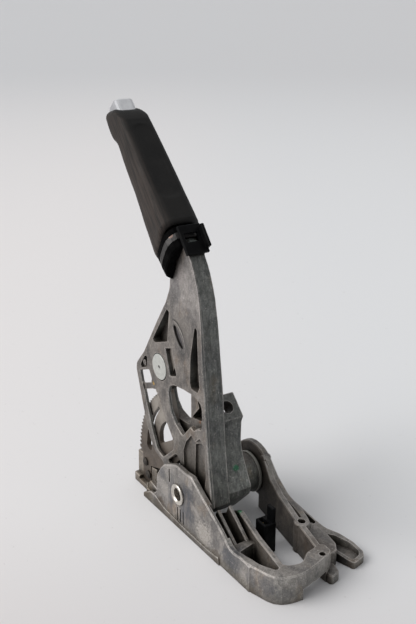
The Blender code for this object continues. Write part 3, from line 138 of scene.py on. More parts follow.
BASE_STAINS = (
    ((-27.8, -3.5, 6.0), 9.0, BROWN, 0.8),
    ((0.0, -3.5, 3.0), 8.0, BROWN, 0.75),
    ((-50.0, -4.0, 6.0), 12.0, (0.15, 0.125, 0.09), 0.7),
    ((100.0, 56.0, 12.0), 20.0, (0.09, 0.07, 0.055), 0.6),
    ((55.0, -3.0, 5.0), 8.0, BROWN, 0.6),
    ((-26.0, -2.5, 38.0), 8.0, DARK_BLUE, 0.5),
    ((14.7, -2.5, 36.5), 9.0, DARK_BLUE, 0.6),
    ((17.4, -2.5, 20.2), 9.0, DARK_BLUE, 0.6),
    ((76.0, -2.5, 14.0), 15.0, DARK_BLUE, 0.6),
    ((-20.0, -2.5, 24.0), 8.0, (0.36, 0.335, 0.31), 0.7),
    ((37.0, -2.5, 15.0), 12.0, (0.40, 0.37, 0.34), 0.85),
    ((70.0, -2.5, 12.0), 10.0, DARK_BLUE, 0.5),
    ((92.0, -2.3, 8.0), 9.0, (0.34, 0.315, 0.29), 0.5),
    ((112.0, 2.0, 12.0), 9.0, DARK_BLUE, 0.5),
    ((45.5, 22.8, 29.5), 4.2, BRIGHT_GREEN, 0.95),
    ((30.0, 13.0, 14.0), 12.0, SOOT, 0.6),
    ((76.0, 12.0, 9.0), 11.0, SOOT, 0.6),
    ((98.0, -2.0, 10.0), 7.0, DARK_BLUE, 0.45),
    ((118.0, 12.0, 8.0), 8.0, DARK_BLUE, 0.4),
    ((-12.0, -2.5, 48.0), 7.0, (0.38, 0.355, 0.33), 0.5),
    ((-72.0, 20.0, 20.0), 12.0, (0.12, 0.10, 0.075), 0.6),
)
BAND_STAINS = (((-10.8, 0.1, 234.5), 2.4, (0.30, 0.215, 0.185)),)


# Materials


class Nodes:
    """Short calls that add nodes to a tree."""

    def __init__(self, tree):
        self.tree = tree

    def node(self, kind, inputs=None, **settings):
        made = self.tree.nodes.new(kind)
        for key, value in settings.items():
            setattr(made, key, value)
        for key, value in (inputs or {}).items():
            self.feed(made.inputs[key], value)
        return made

    def feed(self, socket, value):
        if isinstance(value, bpy.types.NodeSocket):
            self.tree.links.new(value, socket)
        elif socket.type == "RGBA" and len(value) == 3:
            socket.default_value = (*value, 1)
        else:
            socket.default_value = value

    def vector(self, operation, first, second=None, scale=None):
        made = self.node("ShaderNodeVectorMath", {0: first}, operation=operation)
        if second is not None:
            self.feed(made.inputs[1], second)
        if scale is not None:
            made.inputs["Scale"].default_value = scale
        return made.outputs["Value" if operation in ("LENGTH", "DISTANCE", "DOT_PRODUCT") else "Vector"]

    def math(self, operation, first, second=0.0):
        return self.node("ShaderNodeMath", {0: first, 1: second}, operation=operation).outputs[0]

    def times(self, first, second):
        return self.math("MULTIPLY", first, second)

    def apart(self, value, middle):
        """How far a value is from the middle, either way."""
        return self.math("ABSOLUTE", self.math("SUBTRACT", value, middle))

    def band(self, value, low, high, out_low=0.0, out_high=1.0):
        """A smooth step between two values, from one output to the other."""
        inputs = {0: value, 1: low, 2: high, 3: out_low, 4: out_high}
        return self.node("ShaderNodeMapRange", inputs, interpolation_type="SMOOTHSTEP").outputs[0]

    def mix(self, share, first, second, blend="MIX"):
        inputs = {0: share, 6: first, 7: second}
        return self.node("ShaderNodeMix", inputs, data_type="RGBA", blend_type=blend).outputs[2]


class Finish(Nodes):
    """A material whose colour is laid on in layers. Textures go by the object's own coordinates in mm."""

    def __init__(self, name):
        self.material = bpy.data.materials.new(name)
        self.material.use_nodes = True
        super().__init__(self.material.node_tree)
        self.shader = self.tree.nodes["Principled BSDF"]
        coords = self.node("ShaderNodeTexCoord").outputs["Object"]
        self.place = self.vector("SCALE", coords, scale=1 / MM)
        self.tone = None

    def base(self, share, first, second):
        """The first layer: the first colour where the share is 0, the second where it is 1."""
        self.tone = self.mix(share, first, second)

    def coat(self, share, colour):
        """Lays a colour over the layers so far."""
        self.tone = self.mix(share, self.tone, colour)

    def tint(self, share, colour):
        """Multiplies the layers so far by a colour."""
        self.tone = self.mix(share, self.tone, colour, "MULTIPLY")

    def finished(self, roughness, metallic=0.0, specular=0.5):
        self.feed(self.shader.inputs["Base Color"], self.tone)
        self.feed(self.shader.inputs["Roughness"], roughness)
        self.feed(self.shader.inputs["Metallic"], metallic)
        self.feed(self.shader.inputs["Specular IOR Level"], specular)
        return self.material

    def noise(self, scale, detail=3.0, rough=0.55, stretch=(1, 1, 1), shift=(0, 0, 0), distortion=0.0):
        place = self.vector("ADD", self.vector("MULTIPLY", self.place, stretch), shift)
        inputs = {"Vector": place, "Scale": scale, "Detail": detail, "Roughness": rough}
        return self.node("ShaderNodeTexNoise", {**inputs, "Distortion": distortion}).outputs[0]

    def cells(self, scale, feature="F1"):
        inputs = {"Vector": self.place, "Scale": scale}
        return self.node("ShaderNodeTexVoronoi", inputs, feature=feature).outputs["Distance"]

    def axis(self, letter):
        return self.node("ShaderNodeSeparateXYZ", {0: self.place}).outputs[letter]

    def spot(self, point, radius, soft, ragged=0.0):
        """1 near a point, 0 beyond the radius, with an uneven rim where it is ragged."""
        distance = self.vector("DISTANCE", self.place, point)
        if ragged:
            rim = self.times(self.math("SUBTRACT", self.noise(0.55, 3, 0.7), 0.5), ragged * 2)
            distance = self.math("ADD", distance, rim)
        return self.band(distance, radius * (1 - soft), radius, 1, 0)

    def facing(self, x, y, z):
        """How far the surface faces a direction of its own object."""
        return self.vector("DOT_PRODUCT", self.node("ShaderNodeTexCoord").outputs["Normal"], (x, y, z))

    def radius_about(self, x, z):
        """The distance from an axis along Y."""
        flat = self.vector("MULTIPLY", self.vector("SUBTRACT", self.place, (x, 0, z)), (1, 0, 1))
        return self.vector("LENGTH", flat)

    def edges(self, radius, low=0.02, high=0.14):
        """1 along sharp edges, 0 on flats."""
        soft = self.node("ShaderNodeBevel", {"Radius": radius * MM}, samples=4).outputs[0]
        sharp = self.node("ShaderNodeNewGeometry").outputs["Normal"]
        turned = self.math("SUBTRACT", 1.0, self.vector("DOT_PRODUCT", soft, sharp))
        return self.band(turned, low, high)

    def hollows(self, distance, low, high):
        """1 deep in corners, 0 in the open."""
        inputs = {"Distance": distance * MM}
        open_share = self.node("ShaderNodeAmbientOcclusion", inputs, samples=4).outputs["AO"]
        return self.band(open_share, low, high, 1, 0)

    def bump(self, height, distance, strength):
        """Stacks a bump on those added before."""
        inputs = {"Height": height, "Strength": strength, "Distance": distance * MM}
        made = self.node("ShaderNodeBump", inputs)
        normal = self.shader.inputs["Normal"]
        if normal.is_linked:
            self.tree.links.new(normal.links[0].from_socket, made.inputs["Normal"])
        self.tree.links.new(made.outputs[0], normal)


def shade(colour, factor):
    return tuple(channel * factor for channel in colour)


class CastAlloy(Finish):
    """As-cast aluminium alloy: weathered, with painted shade on the lever's rear faces and painted light on
    the bracket's, pale along its edges from wear and painted highlights, and rough.
    """

    def __init__(self, name, colour, painted_rear_light, stains, seed):
        super().__init__(name)
        self.rear = self.band(self.facing(1, 0, 0), 0.25, 0.8)
        self.speckle = self.noise(1.1, 4, 0.75)
        # The pale edges are partly wear and partly painted highlights, where light would catch the edges.
        worn = self.band(self.noise(0.14, 4, 0.7), 0.36, 0.58, 0.4, 0.95)
        self.rubbed_and_highlit = self.times(self.edges(1.3, 0.01, 0.1), worn)
        self.weather(colour, painted_rear_light, seed)
        for point, size, paint, strength in stains:
            self.coat(self.times(self.spot(point, size, 0.45, size * 0.9), strength), paint)
        self.roughen(colour)

    def weather(self, colour, painted_rear_light, seed):
        """Clouds, mottling, painted light and shade on the rear faces, dark stains and warm patches."""
        shift = (seed, seed * 2, seed * 3)
        clouds = self.band(self.noise(0.034, 5, 0.62, shift=shift), 0.36, 0.64)
        mottled = self.band(self.noise(0.3, 6, 0.72, (1, 1, 0.7), shift), 0.38, 0.6)
        stained = self.band(self.noise(0.085, 6, 0.7, (1, 1, 0.55), shift), 0.48, 0.6, 0, 0.85)
        warm = self.band(self.noise(0.06, 4, 0.6, (1, 1, 0.6), (seed + 40, 7, 3)), 0.54, 0.72, 0, 0.7)
        self.base(clouds, shade(colour, 0.8), shade(colour, 1.16))
        self.tint(mottled, (0.72, 0.72, 0.71))
        # Painted light and shade: the rear faces are tinted darker on the lever and lighter on the bracket,
        # standing in for how the light falls on them.
        self.tint(self.rear, painted_rear_light)
        self.tint(stained, (0.52, 0.53, 0.55))
        self.tint(warm, (0.98, 0.80, 0.62))

    def roughen(self, colour):
        """The cast skin's speckle, pale grains, edges pale from wear and painted highlights, and small
        bumps.
        """
        grains = self.band(self.noise(0.8, 3, 0.6, shift=(9, 3, 5)), 0.6, 0.74, 0, 0.75)
        self.tint(self.band(self.speckle, 0.42, 0.62, 0, 0.6), (0.46, 0.45, 0.43))
        self.coat(grains, shade(colour, 1.7))
        self.coat(self.rubbed_and_highlit, shade(colour, 1.75))
        self.bump(self.noise(0.16, 4, 0.55), 0.3, 0.6)
        self.bump(self.speckle, 0.14, 0.8)

    def finish_with_corner_shade_and_dirt(self):
        """Ends the material with painted shade and some patchy dirt in its corners, which lies over
        everything else.
        """
        # Painted shade: darker deep in corners (patchy, partly dirt), in narrow creases and in large
        # hollows.
        patchy = self.band(self.noise(0.1, 4, 0.6), 0.2, 0.6, 0.65, 1.0)
        self.tint(self.times(self.hollows(12, 0.3, 0.9), patchy), (0.2, 0.185, 0.155))
        self.tint(self.hollows(3.5, 0.3, 0.92), (0.42, 0.40, 0.37))
        self.tint(self.hollows(28, 0.15, 0.55), (0.62, 0.60, 0.56))
        dull = self.band(self.speckle, 0.3, 0.8, 0.46, 0.6)
        return self.finished(self.math("ADD", dull, self.times(self.rubbed_and_highlit, -0.12)), metallic=0.2)


def lever_alloy():
    look = CastAlloy("lever_alloy", (0.322, 0.300, 0.288), (0.60, 0.67, 0.67), LEVER_STAINS, 11.0)
    lever_wear_and_painted_light(look)
    oval_rings(look)
    parting_line = look.apart(look.axis("Y"), MIDDLE_Y + 1.2)
    look.bump(look.band(parting_line, 0.15, 0.55, 1, 0), 0.3, 0.6)
    return look.finish_with_corner_shade_and_dirt()


def lever_wear_and_painted_light(look):
    """Darker below the neck, with a pale rim on the hub, and painted light on the rear low down, which is
    also streaked and worn.
    """
    height = look.math("ADD", look.axis("Z"), look.times(look.noise(0.06, 4, 0.6), 50.0))
    below_neck = look.times(look.band(height, 185, 225, 1, 0), look.math("SUBTRACT", 1.0, look.rear))
    streaks = look.band(look.noise(0.42, 5, 0.65, (1, 1, 0.05)), 0.4, 0.62)
    middle = look.band(look.apart(look.axis("Y"), MIDDLE_Y - 1.5), 1.0, 5.0, 1, 0)
    worn_middle = look.times(middle, look.band(look.noise(0.05, 4, 0.6), 0.4, 0.6))
    look.tint(below_neck, (0.66, 0.64, 0.61))
    # Painted light: the rear faces are made lighter low down.
    look.tint(look.times(look.band(look.axis("Z"), 40, 110, 1, 0), look.rear), (1.45, 1.45, 1.42))
    look.tint(look.times(streaks, look.rear), (0.66, 0.67, 0.66))
    look.tint(look.times(worn_middle, look.rear), (0.76, 0.76, 0.75))
    look.coat(look.band(look.axis("Y"), HUB_END - 2.9, HUB_END - 2.3), (0.40, 0.40, 0.37))


def oval_reach(look, half_length, half_width):
    """The distance from the bare oval's middle: 1 on an oval with these half sizes."""
    turn = math.radians(OVAL_TURN)
    flat = look.vector("SUBTRACT", look.place, (OVAL_PLACE[0], 0, OVAL_PLACE[1]))
    along = look.vector("DOT_PRODUCT", flat, (math.cos(turn), 0, math.sin(turn)))
    across = look.vector("DOT_PRODUCT", flat, (-math.sin(turn), 0, math.cos(turn)))
    inputs = {0: look.math("DIVIDE", along, half_length), 1: look.math("DIVIDE", across, half_width)}
    return look.vector("LENGTH", look.node("ShaderNodeCombineXYZ", inputs).outputs[0])


def oval_rings(look):
    """The oval's dark outer and inner rings and its dark middle, on the near side only."""
    near_side = look.band(look.axis("Y"), 6, 8, 1, 0)
    outer, inner = oval_reach(look, 13.6, 7.0), oval_reach(look, 9.6, 3.3)
    for reach, width, strength in ((outer, 0.09, 0.6), (inner, 0.16, 0.75)):
        ring = look.band(look.apart(reach, 1.0), width * 0.4, width, strength, 0)
        look.coat(look.times(ring, near_side), (0.05, 0.048, 0.047))
    look.coat(look.times(look.band(inner, 0.8, 1.0, 0.55, 0), near_side), (0.075, 0.07, 0.085))


def bracket_alloy():
    look = CastAlloy("bracket_alloy", (0.290, 0.270, 0.254), (1.35, 1.39, 1.38), BASE_STAINS, 3.0)
    bracket_runs(look)
    bracket_grit(look)
    # Painted shade: the faces between the cheeks that face the near side are darkened.
    between_cheeks = look.times(look.band(look.axis("Y"), 10, 22), look.band(look.axis("Y"), 74, 80, 1, 0))
    oily = look.times(between_cheeks, look.band(look.facing(0, -1, 0), 0.2, 0.8))
    look.tint(look.times(oily, 0.85), (0.38, 0.34, 0.30))
    return look.finish_with_corner_shade_and_dirt()


def bracket_runs(look):
    """Dark runs below the pivot, down the near cheek."""
    runs = look.band(look.noise(0.2, 5, 0.7, (1, 1, 0.12), distortion=0.5), 0.44, 0.62)
    below_pivot = look.spot((2, -2.5, 26), 30, 0.6, 14)
    look.coat(look.times(look.times(runs, below_pivot), 0.8), (0.065, 0.068, 0.08))


def bracket_grit(look):
    """Brown grit on the ledge along the near cheek and on the bracket's rear end."""
    grit = look.noise(0.55, 5, 0.8, shift=(2, 8, 4))
    ledge = look.times(look.band(look.axis("Z"), 4.5, 9, 1, 0), look.band(look.axis("Y"), -1.5, 2, 1, 0))
    rear_end = look.band(look.axis("X"), -52, -42, 1, 0)
    look.coat(look.times(ledge, look.band(grit, 0.4, 0.6, 0, 0.75)), (0.105, 0.088, 0.062))
    look.tint(look.times(rear_end, look.band(grit, 0.35, 0.6, 0.3, 1.0)), (0.72, 0.64, 0.53))


def oily_steel():
    """Dark steel, oily in patches, with a little rust, and darker low down."""
    look = Finish("oily_steel")
    grain = look.noise(0.8, 4, 0.6, (1, 4, 1))
    rust = look.band(look.noise(0.24, 5, 0.7, shift=(5, 5, 5)), 0.6, 0.72, 0, 0.6)
    look.base(look.band(look.noise(0.09, 4, 0.6), 0.35, 0.65), (0.22, 0.198, 0.175), (0.34, 0.31, 0.275))
    look.coat(look.times(look.edges(0.5), 0.7), (0.36, 0.33, 0.29))
    look.coat(rust, (0.16, 0.085, 0.04))
    look.tint(look.band(look.axis("Z"), 40, 85, 1, 0), (0.32, 0.28, 0.25))
    # Painted shade: near black deep in corners.
    look.coat(look.hollows(4, 0.2, 0.8), (0.03, 0.022, 0.016))
    look.bump(grain, 0.05, 0.8)
    return look.finished(look.band(grain, 0.3, 0.7, 0.4, 0.58), metallic=0.5)


def turned_steel(name, colour, centre, roughness, metallic):
    """Steel turned about an axis along Y: fine rings, a dark centre mark, rub marks and dull patches."""
    look = Finish(name)
    ring_pitch = 0.42
    radius = look.radius_about(*centre)
    rings = look.math("SINE", look.times(radius, 2 * math.pi / ring_pitch))
    scuffs = look.noise(0.35, 4, 0.65)
    look.base(look.band(scuffs, 0.35, 0.7), shade(colour, 0.82), colour)
    look.coat(look.band(rings, -1, 1, 0, 0.18), shade(colour, 0.6))
    # Painted shade in corners.
    look.coat(look.hollows(1.2, 0.2, 0.8), shade(colour, 0.22))
    look.coat(look.band(radius, 0.9, 1.7, 0.9, 0), (0.02, 0.02, 0.02))
    look.bump(rings, 0.015, 0.7)
    look.bump(scuffs, 0.03, 0.5)
    return look.finished(look.band(scuffs, 0.3, 0.7, roughness, roughness + 0.16), metallic)


def drawn_steel(name, colour, roughness=0.3, spots=()):
    """Plated wire, rivets, springs and the clamp band: small scratches and dull patches."""
    look = Finish(name)
    scratches = look.noise(2.2, 4, 0.7, (1, 1, 0.2))
    look.base(look.band(look.noise(0.5), 0.35, 0.7), shade(colour, 0.7), colour)
    # Painted shade in corners.
    look.coat(look.hollows(1.5, 0.2, 0.8), shade(colour, 0.25))
    for point, size, paint in spots:
        look.coat(look.spot(point, size, 0.5), paint)
    look.bump(scratches, 0.02, 0.7)
    return look.finished(look.band(scratches, 0.3, 0.7, roughness, roughness + 0.2), metallic=0.9)


def moulded_plastic(name, colour, roughness, grain, dust=0.0, specular=0.5):
    """Moulded plastic with a fine grain and edges paler from wear and a painted highlight, and grey dust
    where it has any.
    """
    look = Finish(name)
    look.base(look.band(look.noise(0.2, 4, 0.6), 0.35, 0.7), shade(colour, 0.75), shade(colour, 1.2))
    if dust:
        look.coat(look.times(look.band(look.noise(0.11, 5, 0.65), 0.42, 0.7), dust), (0.03, 0.029, 0.028))
    # Paler edges: partly wear, partly a painted highlight.
    look.coat(look.times(look.edges(0.5), 0.5), shade(colour, 4.0))
    look.bump(look.cells(2.4), grain, 0.7)
    look.bump(look.noise(0.5), 0.05, 0.4)
    rough = look.band(look.noise(0.7, 4, 0.6), 0.3, 0.7, roughness, roughness + 0.16)
    return look.finished(rough, specular=specular)


def grip_leather():
    """Black grain leather, lighter and greyer on its near side, partly from scuffs and partly as painted
    light, with fine lengthwise scuffs.
    """
    look = Finish("grip_leather")
    patches = look.noise(0.045, 4, 0.6)
    near_side = look.band(look.axis("Y"), -4.5, 5.5, 1, 0)
    across, _, along = GRIP_PLACE.inverted().to_3x3()
    inputs = {
        0: look.vector("DOT_PRODUCT", look.place, across),
        1: look.axis("Y"),
        2: look.vector("DOT_PRODUCT", look.place, along),
    }
    look.place = look.node("ShaderNodeCombineXYZ", inputs).outputs[0]
    pores = look.cells(1.15, "SMOOTH_F1")
    fine = look.noise(1.6, 4, 0.5)
    scuffs = look.noise(0.8, 5, 0.5, (1, 1, 0.05))
    look.base(look.band(patches, 0.35, 0.66), (0.0125, 0.0125, 0.0125), (0.019, 0.0185, 0.018))
    # Painted light with scuffs: the near side is coated lighter.
    look.coat(look.times(near_side, look.band(scuffs, 0.32, 0.64, 0.15, 1.0)), (0.052, 0.042, 0.037))
    look.coat(look.band(pores, 0.05, 0.32, 0.4, 0), (0.006, 0.006, 0.006))
    look.bump(pores, 0.11, 0.45)
    look.bump(fine, 0.05, 0.5)
    look.bump(scuffs, 0.09, 0.3)
    return look.finished(look.band(patches, 0.3, 0.7, 0.46, 0.62), specular=0.12)


def silver_paint():
    """Silver paint with fine flakes, with painted shade on its near side and along its edges."""
    look = Finish("silver_paint")
    flakes = look.cells(5.5)
    cloud = look.noise(0.16, 4, 0.6)
    look.base(look.band(cloud, 0.35, 0.65), (0.62, 0.63, 0.65), (0.72, 0.73, 0.75))
    # Painted shade on faces turned to the near side.
    look.tint(look.band(look.facing(0, -1, 0), 0.2, 0.85), (0.55, 0.55, 0.56))
    look.coat(look.band(flakes, 0.1, 0.6, 0.2, 0), (0.66, 0.67, 0.69))
    # Painted shade along the edges.
    look.coat(look.times(look.edges(1.0), 0.5), (0.30, 0.30, 0.31))
    look.bump(flakes, 0.012, 0.6)
    look.bump(cloud, 0.08, 0.4)
    return look.finished(look.band(cloud, 0.3, 0.7, 0.4, 0.5), metallic=0.3)


def waxed_thread():
    look = Finish("waxed_thread")
    twist = look.noise(3.0, 2, 0.5)
    look.base(look.band(twist, 0.3, 0.7), (0.02, 0.02, 0.02), (0.05, 0.048, 0.045))
    look.bump(twist, 0.05, 0.8)
    return look.finished(0.55)


finishes = {
    "bracket": bracket_alloy(),
    "lever": lever_alloy(),
    "oily": oily_steel(),
    "pivot": turned_steel("pivot_steel", (0.72, 0.68, 0.62), PIVOT, roughness=0.24, metallic=0.95),
    "pin": turned_steel("pin_steel", (0.55, 0.56, 0.53), PAWL_PIN, roughness=0.4, metallic=0.45),
    "plated": drawn_steel("plated_steel", (0.60, 0.59, 0.56)),
    "zinc": drawn_steel("yellow_zinc", (0.58, 0.40, 0.13), roughness=0.32),
    "rivet": drawn_steel("rivet_steel", (0.07, 0.062, 0.055), roughness=0.5),
    "band": drawn_steel("band_steel", (0.085, 0.083, 0.082), roughness=0.45, spots=BAND_STAINS),
    "bush": moulded_plastic("bearing_plastic", (0.36, 0.33, 0.28), roughness=0.45, grain=0.03),
    "deep_black": moulded_plastic(
        "deep_black_plastic", (0.002, 0.002, 0.0021), roughness=0.5, grain=0.02, dust=0.1, specular=0.02
    ),
    "black": moulded_plastic(
        "black_plastic", (0.0028, 0.003, 0.0034), roughness=0.36, grain=0.02, dust=0.12, specular=0.07
    ),
    "leather": grip_leather(),
    "silver": silver_paint(),
    "thread": waxed_thread(),
}

node_finish = {
    "base_bracket": "bracket",
    "lever_casting": "lever",
    "toothed_sector": "oily",
    "pawl": "oily",
    "pin_clip": "oily",
    "pivot_retainer": "oily",
    "clamp_band": "band",
    "pivot_tube": "pivot",
    "near_washer": "pivot",
    "far_washer": "pivot",
    "pawl_pin": "pin",
    "sector_rivet_1": "rivet",
    "sector_rivet_2": "rivet",
    "push_rod": "plated",
    "button_spring": "plated",
    "pawl_spring": "zinc",
    "connector_pin_1": "zinc",
    "connector_pin_2": "zinc",
    "near_bush": "bush",
    "far_bush": "bush",
    "rod_guide": "bush",
    "grip_core": "black",
    "collar_ring": "deep_black",
    "collar_cap": "deep_black",
    "boot_clip": "black",
    "connector_housing": "black",
    "grip_cover": "leather",
    "push_button": "silver",
}
for name, finish in node_finish.items():
    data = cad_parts[name].data
    data.materials.clear()
    data.materials.append(finishes[finish])


# Shapes


def new_object(name, shape, finish, body):
    """Makes a piece from a bmesh in the row frame."""
    mesh = bpy.data.meshes.new(name)
    shape.to_mesh(mesh)
    shape.free()
    made = bpy.data.objects.new(name, mesh)
    bpy.context.scene.collection.objects.link(made)
    mesh.materials.append(finishes[finish])
    for face in mesh.polygons:
        face.use_smooth = True
    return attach(made, body)


def ease(value, low, high):
    """A smooth step from 0 to 1."""
    t = min(1.0, max(0.0, (value - low) / (high - low)))
    return t * t * (3 - 2 * t)


def bell(value, middle, width):
    """1 at the middle, falling away to 0 on both sides."""
    return math.exp(-(((value - middle) / width) ** 2))


def arc(radius, start, end, steps, centre):
    points = []
    for i in range(steps + 1):
        angle = math.radians(start + (end - start) * i / steps)
        points.append((centre[0] + radius * math.cos(angle), centre[1] + radius * math.sin(angle)))
    return points


def oblong(width, depth, rear, front, shift=0.0):
    """A rounded section across the grip's axis. X runs across its depth, +X at the rear."""
    points = []
    corners = ((1, 1, 0, rear), (-1, 1, 90, front), (-1, -1, 180, front), (1, -1, 270, rear))
    for side_x, side_y, start, radius in corners:
        centre = (side_x * (depth / 2 - radius), side_y * (width / 2 - radius))
        points += arc(radius, start, start + 90, CORNER_STEPS, centre)
    return [(x + shift, y) for x, y in points]


def even_loop(points, count):
    """The closed outline again with evenly spaced points, from the middle of its front at -X."""
    start = next(i for i in range(len(points)) if points[i][1] >= 0 > points[(i + 1) % len(points)][1])
    a, b = points[start], points[(start + 1) % len(points)]
    share = a[1] / (a[1] - b[1])
    first = (a[0] + (b[0] - a[0]) * share, 0.0)
    ring = [first] + points[start + 1:] + points[:start + 1] + [first]
    lengths = [0.0]
    for p, q in zip(ring, ring[1:]):
        lengths.append(lengths[-1] + math.hypot(q[0] - p[0], q[1] - p[1]))
    made, k = [], 0
    for i in range(count):
        goal = lengths[-1] * i / count
        while lengths[k + 1] < goal:
            k += 1
        p, q = ring[k], ring[k + 1]
        span = lengths[k + 1] - lengths[k]
        t = (goal - lengths[k]) / span if span else 0.0
        made.append((p[0] + (q[0] - p[0]) * t, p[1] + (q[1] - p[1]) * t))
    return made, lengths[-1]


def grip_slant(share):
    """How far a ring leans along the grip for each mm of its depth."""
    collar = max(0, 1 - share / COLLAR_SLANT_END)
    tip = max(0, (share - TIP_SLANT_START) / (1 - TIP_SLANT_START))
    return COLLAR_SLANT * collar + TIP_SLANT * tip


def grip_outline(share, inset, worn=1.0):
    """The grip's section. The worn outer skin is slimmer at its front than the core's outline."""
    size = 1 - GRIP_TAPER * share
    waist = worn * ease(share, *WAIST_IN_EASE) * (1 - ease(share, *WAIST_OUT_EASE))
    swell = TIP_SWELL * bell(share, *TIP_SWELL_BELL) - NECK_DEPTH * bell(share, *NECK_BELL)
    swell -= WAIST_DEPTH * waist
    tip = max(0, (share - TIP_CLOSING_START) / (1 - TIP_CLOSING_START))
    collar = max(0, 1 - share / COLLAR_CLOSING_END)
    close = 1 - TIP_CLOSING * tip ** 2 - COLLAR_CLOSING * collar
    depth = (GRIP_DEPTH * size + swell) * close - 2 * inset
    width = GRIP_WIDTH * size * close - 2 * inset
    rear = max((REAR_CORNER + REAR_SWELL * (1 - share) ** 2) * size - inset, LEAST_REAR_CORNER)
    front = max(FRONT_CORNER * size * close + WAIST_CORNER * waist - inset, LEAST_FRONT_CORNER)
    return oblong(width, depth, rear, min(front, width / 2 - 0.05), -swell / 2)


def end_shift(share, x):
    """How far a point of the cover moves up the grip.

    The tip is lifted, and rounded off at its rear, and the hem is drawn up at its rear.
    """
    fall = max(0.0, (x - REAR_FALL_START) / REAR_FALL_SPAN) ** 2 * ease(share, *REAR_FALL_EASE)
    hem = ease(x, *HEM_REAR_EASE) * (1 - ease(share, *HEM_LIFT_EASE))
    return HEM_LIFT * hem + TIP_LIFT * ease(share, *TIP_LIFT_EASE) - REAR_FALL * fall


def panel_depth(share, x, y):
    """The shallow sunken panel along the cover's rear face, with rounded corners and a soft border."""
    size = 1 - GRIP_TAPER * share
    rear = GRIP_DEPTH * size / 2
    face = ease(x, rear + PANEL_FACE_START, rear + PANEL_FACE_END)
    along = abs(share - PANEL_MIDDLE) * GRIP_LENGTH - PANEL_HALF_LENGTH
    across = abs(y) - (GRIP_WIDTH * size / 2 - PANEL_BORDER)
    outside = math.hypot(max(along, 0), max(across, 0)) + min(max(along, across), 0)
    return PANEL_DEPTH * face * (1 - ease(outside, *PANEL_RIM_EASE))


def skin_push(run, x, y, height):
    """How far the skin stands out: the seam's groove and lips, by the run from the seam, and small dents."""
    seam = LIP_HEIGHT * bell(run, *LIP_BELL) - SEAM_DEPTH * bell(run, *SEAM_BELL)
    dent = noise.noise(Vector((x * 0.11, y * 0.11, height * 0.09)))
    wrinkle = noise.noise(Vector((x * 0.5, y * 0.5, height * 0.16 + 7)))
    return seam + DENT_DEPTH * dent + WRINKLE_DEPTH * wrinkle


def cover_ring(shape, outline, height, slant, worked=False):
    """One ring of the cover's points. A worked ring has the seam, the dents and the rear panel."""
    share = height / GRIP_LENGTH
    loop, around = even_loop(outline, RING_POINTS)
    middle = sum(x for x, _ in loop) / len(loop)
    ring = []
    for i, (x, y) in enumerate(loop):
        height_here = height + end_shift(share, x)
        if worked:
            run = around * min(i, RING_POINTS - i) / RING_POINTS
            push = skin_push(run, x, y, height)
            reach = math.hypot(x - middle, y) or 1.0
            x, y = x + (x - middle) / reach * push, y + y / reach * push
            x -= panel_depth(share, x, y)
        point = GRIP_PLACE @ Vector((x * MM, y * MM, (height_here + slant * x) * MM))
        ring.append(shape.verts.new(point))
    return ring


def inner_rings(shape):
    """The inner face, from the core's end down to the hem."""
    rings = []
    for share in INNER_SHARES:
        outline = grip_outline(share, COVER_THICKNESS, 0.0)
        rings.append(cover_ring(shape, outline, share * GRIP_LENGTH, grip_slant(share)))
    rings.append(cover_ring(shape, grip_outline(0, COVER_THICKNESS), 0.0, grip_slant(0)))
    return rings


def outer_rings(shape):
    """The turned hem, the long skin with the hem's groove, and the rounded tip."""
    rings = []
    for inset, height in HEM_PROFILE:
        rings.append(cover_ring(shape, grip_outline(0, inset), height, grip_slant(0), worked=True))
    skin = []
    for i in range(1, OUTER_RINGS):
        share = TIP_START * i / OUTER_RINGS
        skin.append((share, HEM_GROOVE * bell(share * GRIP_LENGTH, *HEM_GROOVE_BELL)))
    for share, inset in (*skin, *TIP_PROFILE):
        outline = grip_outline(share, inset)
        rings.append(cover_ring(shape, outline, share * GRIP_LENGTH, grip_slant(share), worked=True))
    return rings


def opening_rings(shape):
    """The button's opening, down to the core's end."""
    opening = oblong(BUTTON_WIDTH + OPENING_GAP, BUTTON_DEPTH + OPENING_GAP, OPENING_CORNER, OPENING_CORNER)
    return [cover_ring(shape, opening, height, slant) for height, slant in OPENING_LEVELS]


def leather_cover():
    """The sleeve of leather, as one closed skin."""
    shape = bmesh.new()
    rings = inner_rings(shape) + outer_rings(shape) + opening_rings(shape)
    for lower, upper in zip(rings, rings[1:] + rings[:1]):
        for i in range(RING_POINTS):
            j = (i + 1) % RING_POINTS
            shape.faces.new((lower[i], lower[j], upper[j], upper[i]))
    bmesh.ops.recalc_face_normals(shape, faces=shape.faces)
    made = new_object("grip_leather", shape, "leather", "lever")
    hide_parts("grip_cover")


def thread(shape, points):
    """A closed tube along points in metres, thinner at its ends."""
    rings = []
    for i, point in enumerate(points):
        ahead = points[min(i + 1, len(points) - 1)] - points[max(i - 1, 0)]
        turn = ahead.to_track_quat("Z", "X").to_matrix()
        radius = THREAD_RADIUS * MM * (THREAD_END if i in (0, len(points) - 1) else 1.0)
        ring = []
        for k in range(THREAD_SIDES):
            angle = 2 * math.pi * k / THREAD_SIDES
            out = Vector((math.cos(angle), math.sin(angle), 0)) * radius
            ring.append(shape.verts.new(point + turn @ out))
        rings.append(ring)
    for lower, upper in zip(rings, rings[1:]):
        for k in range(THREAD_SIDES):
            j = (k + 1) % THREAD_SIDES
            shape.faces.new((lower[k], lower[j], upper[j], upper[k]))
    shape.faces.new(rings[0][::-1])
    shape.faces.new(rings[-1])


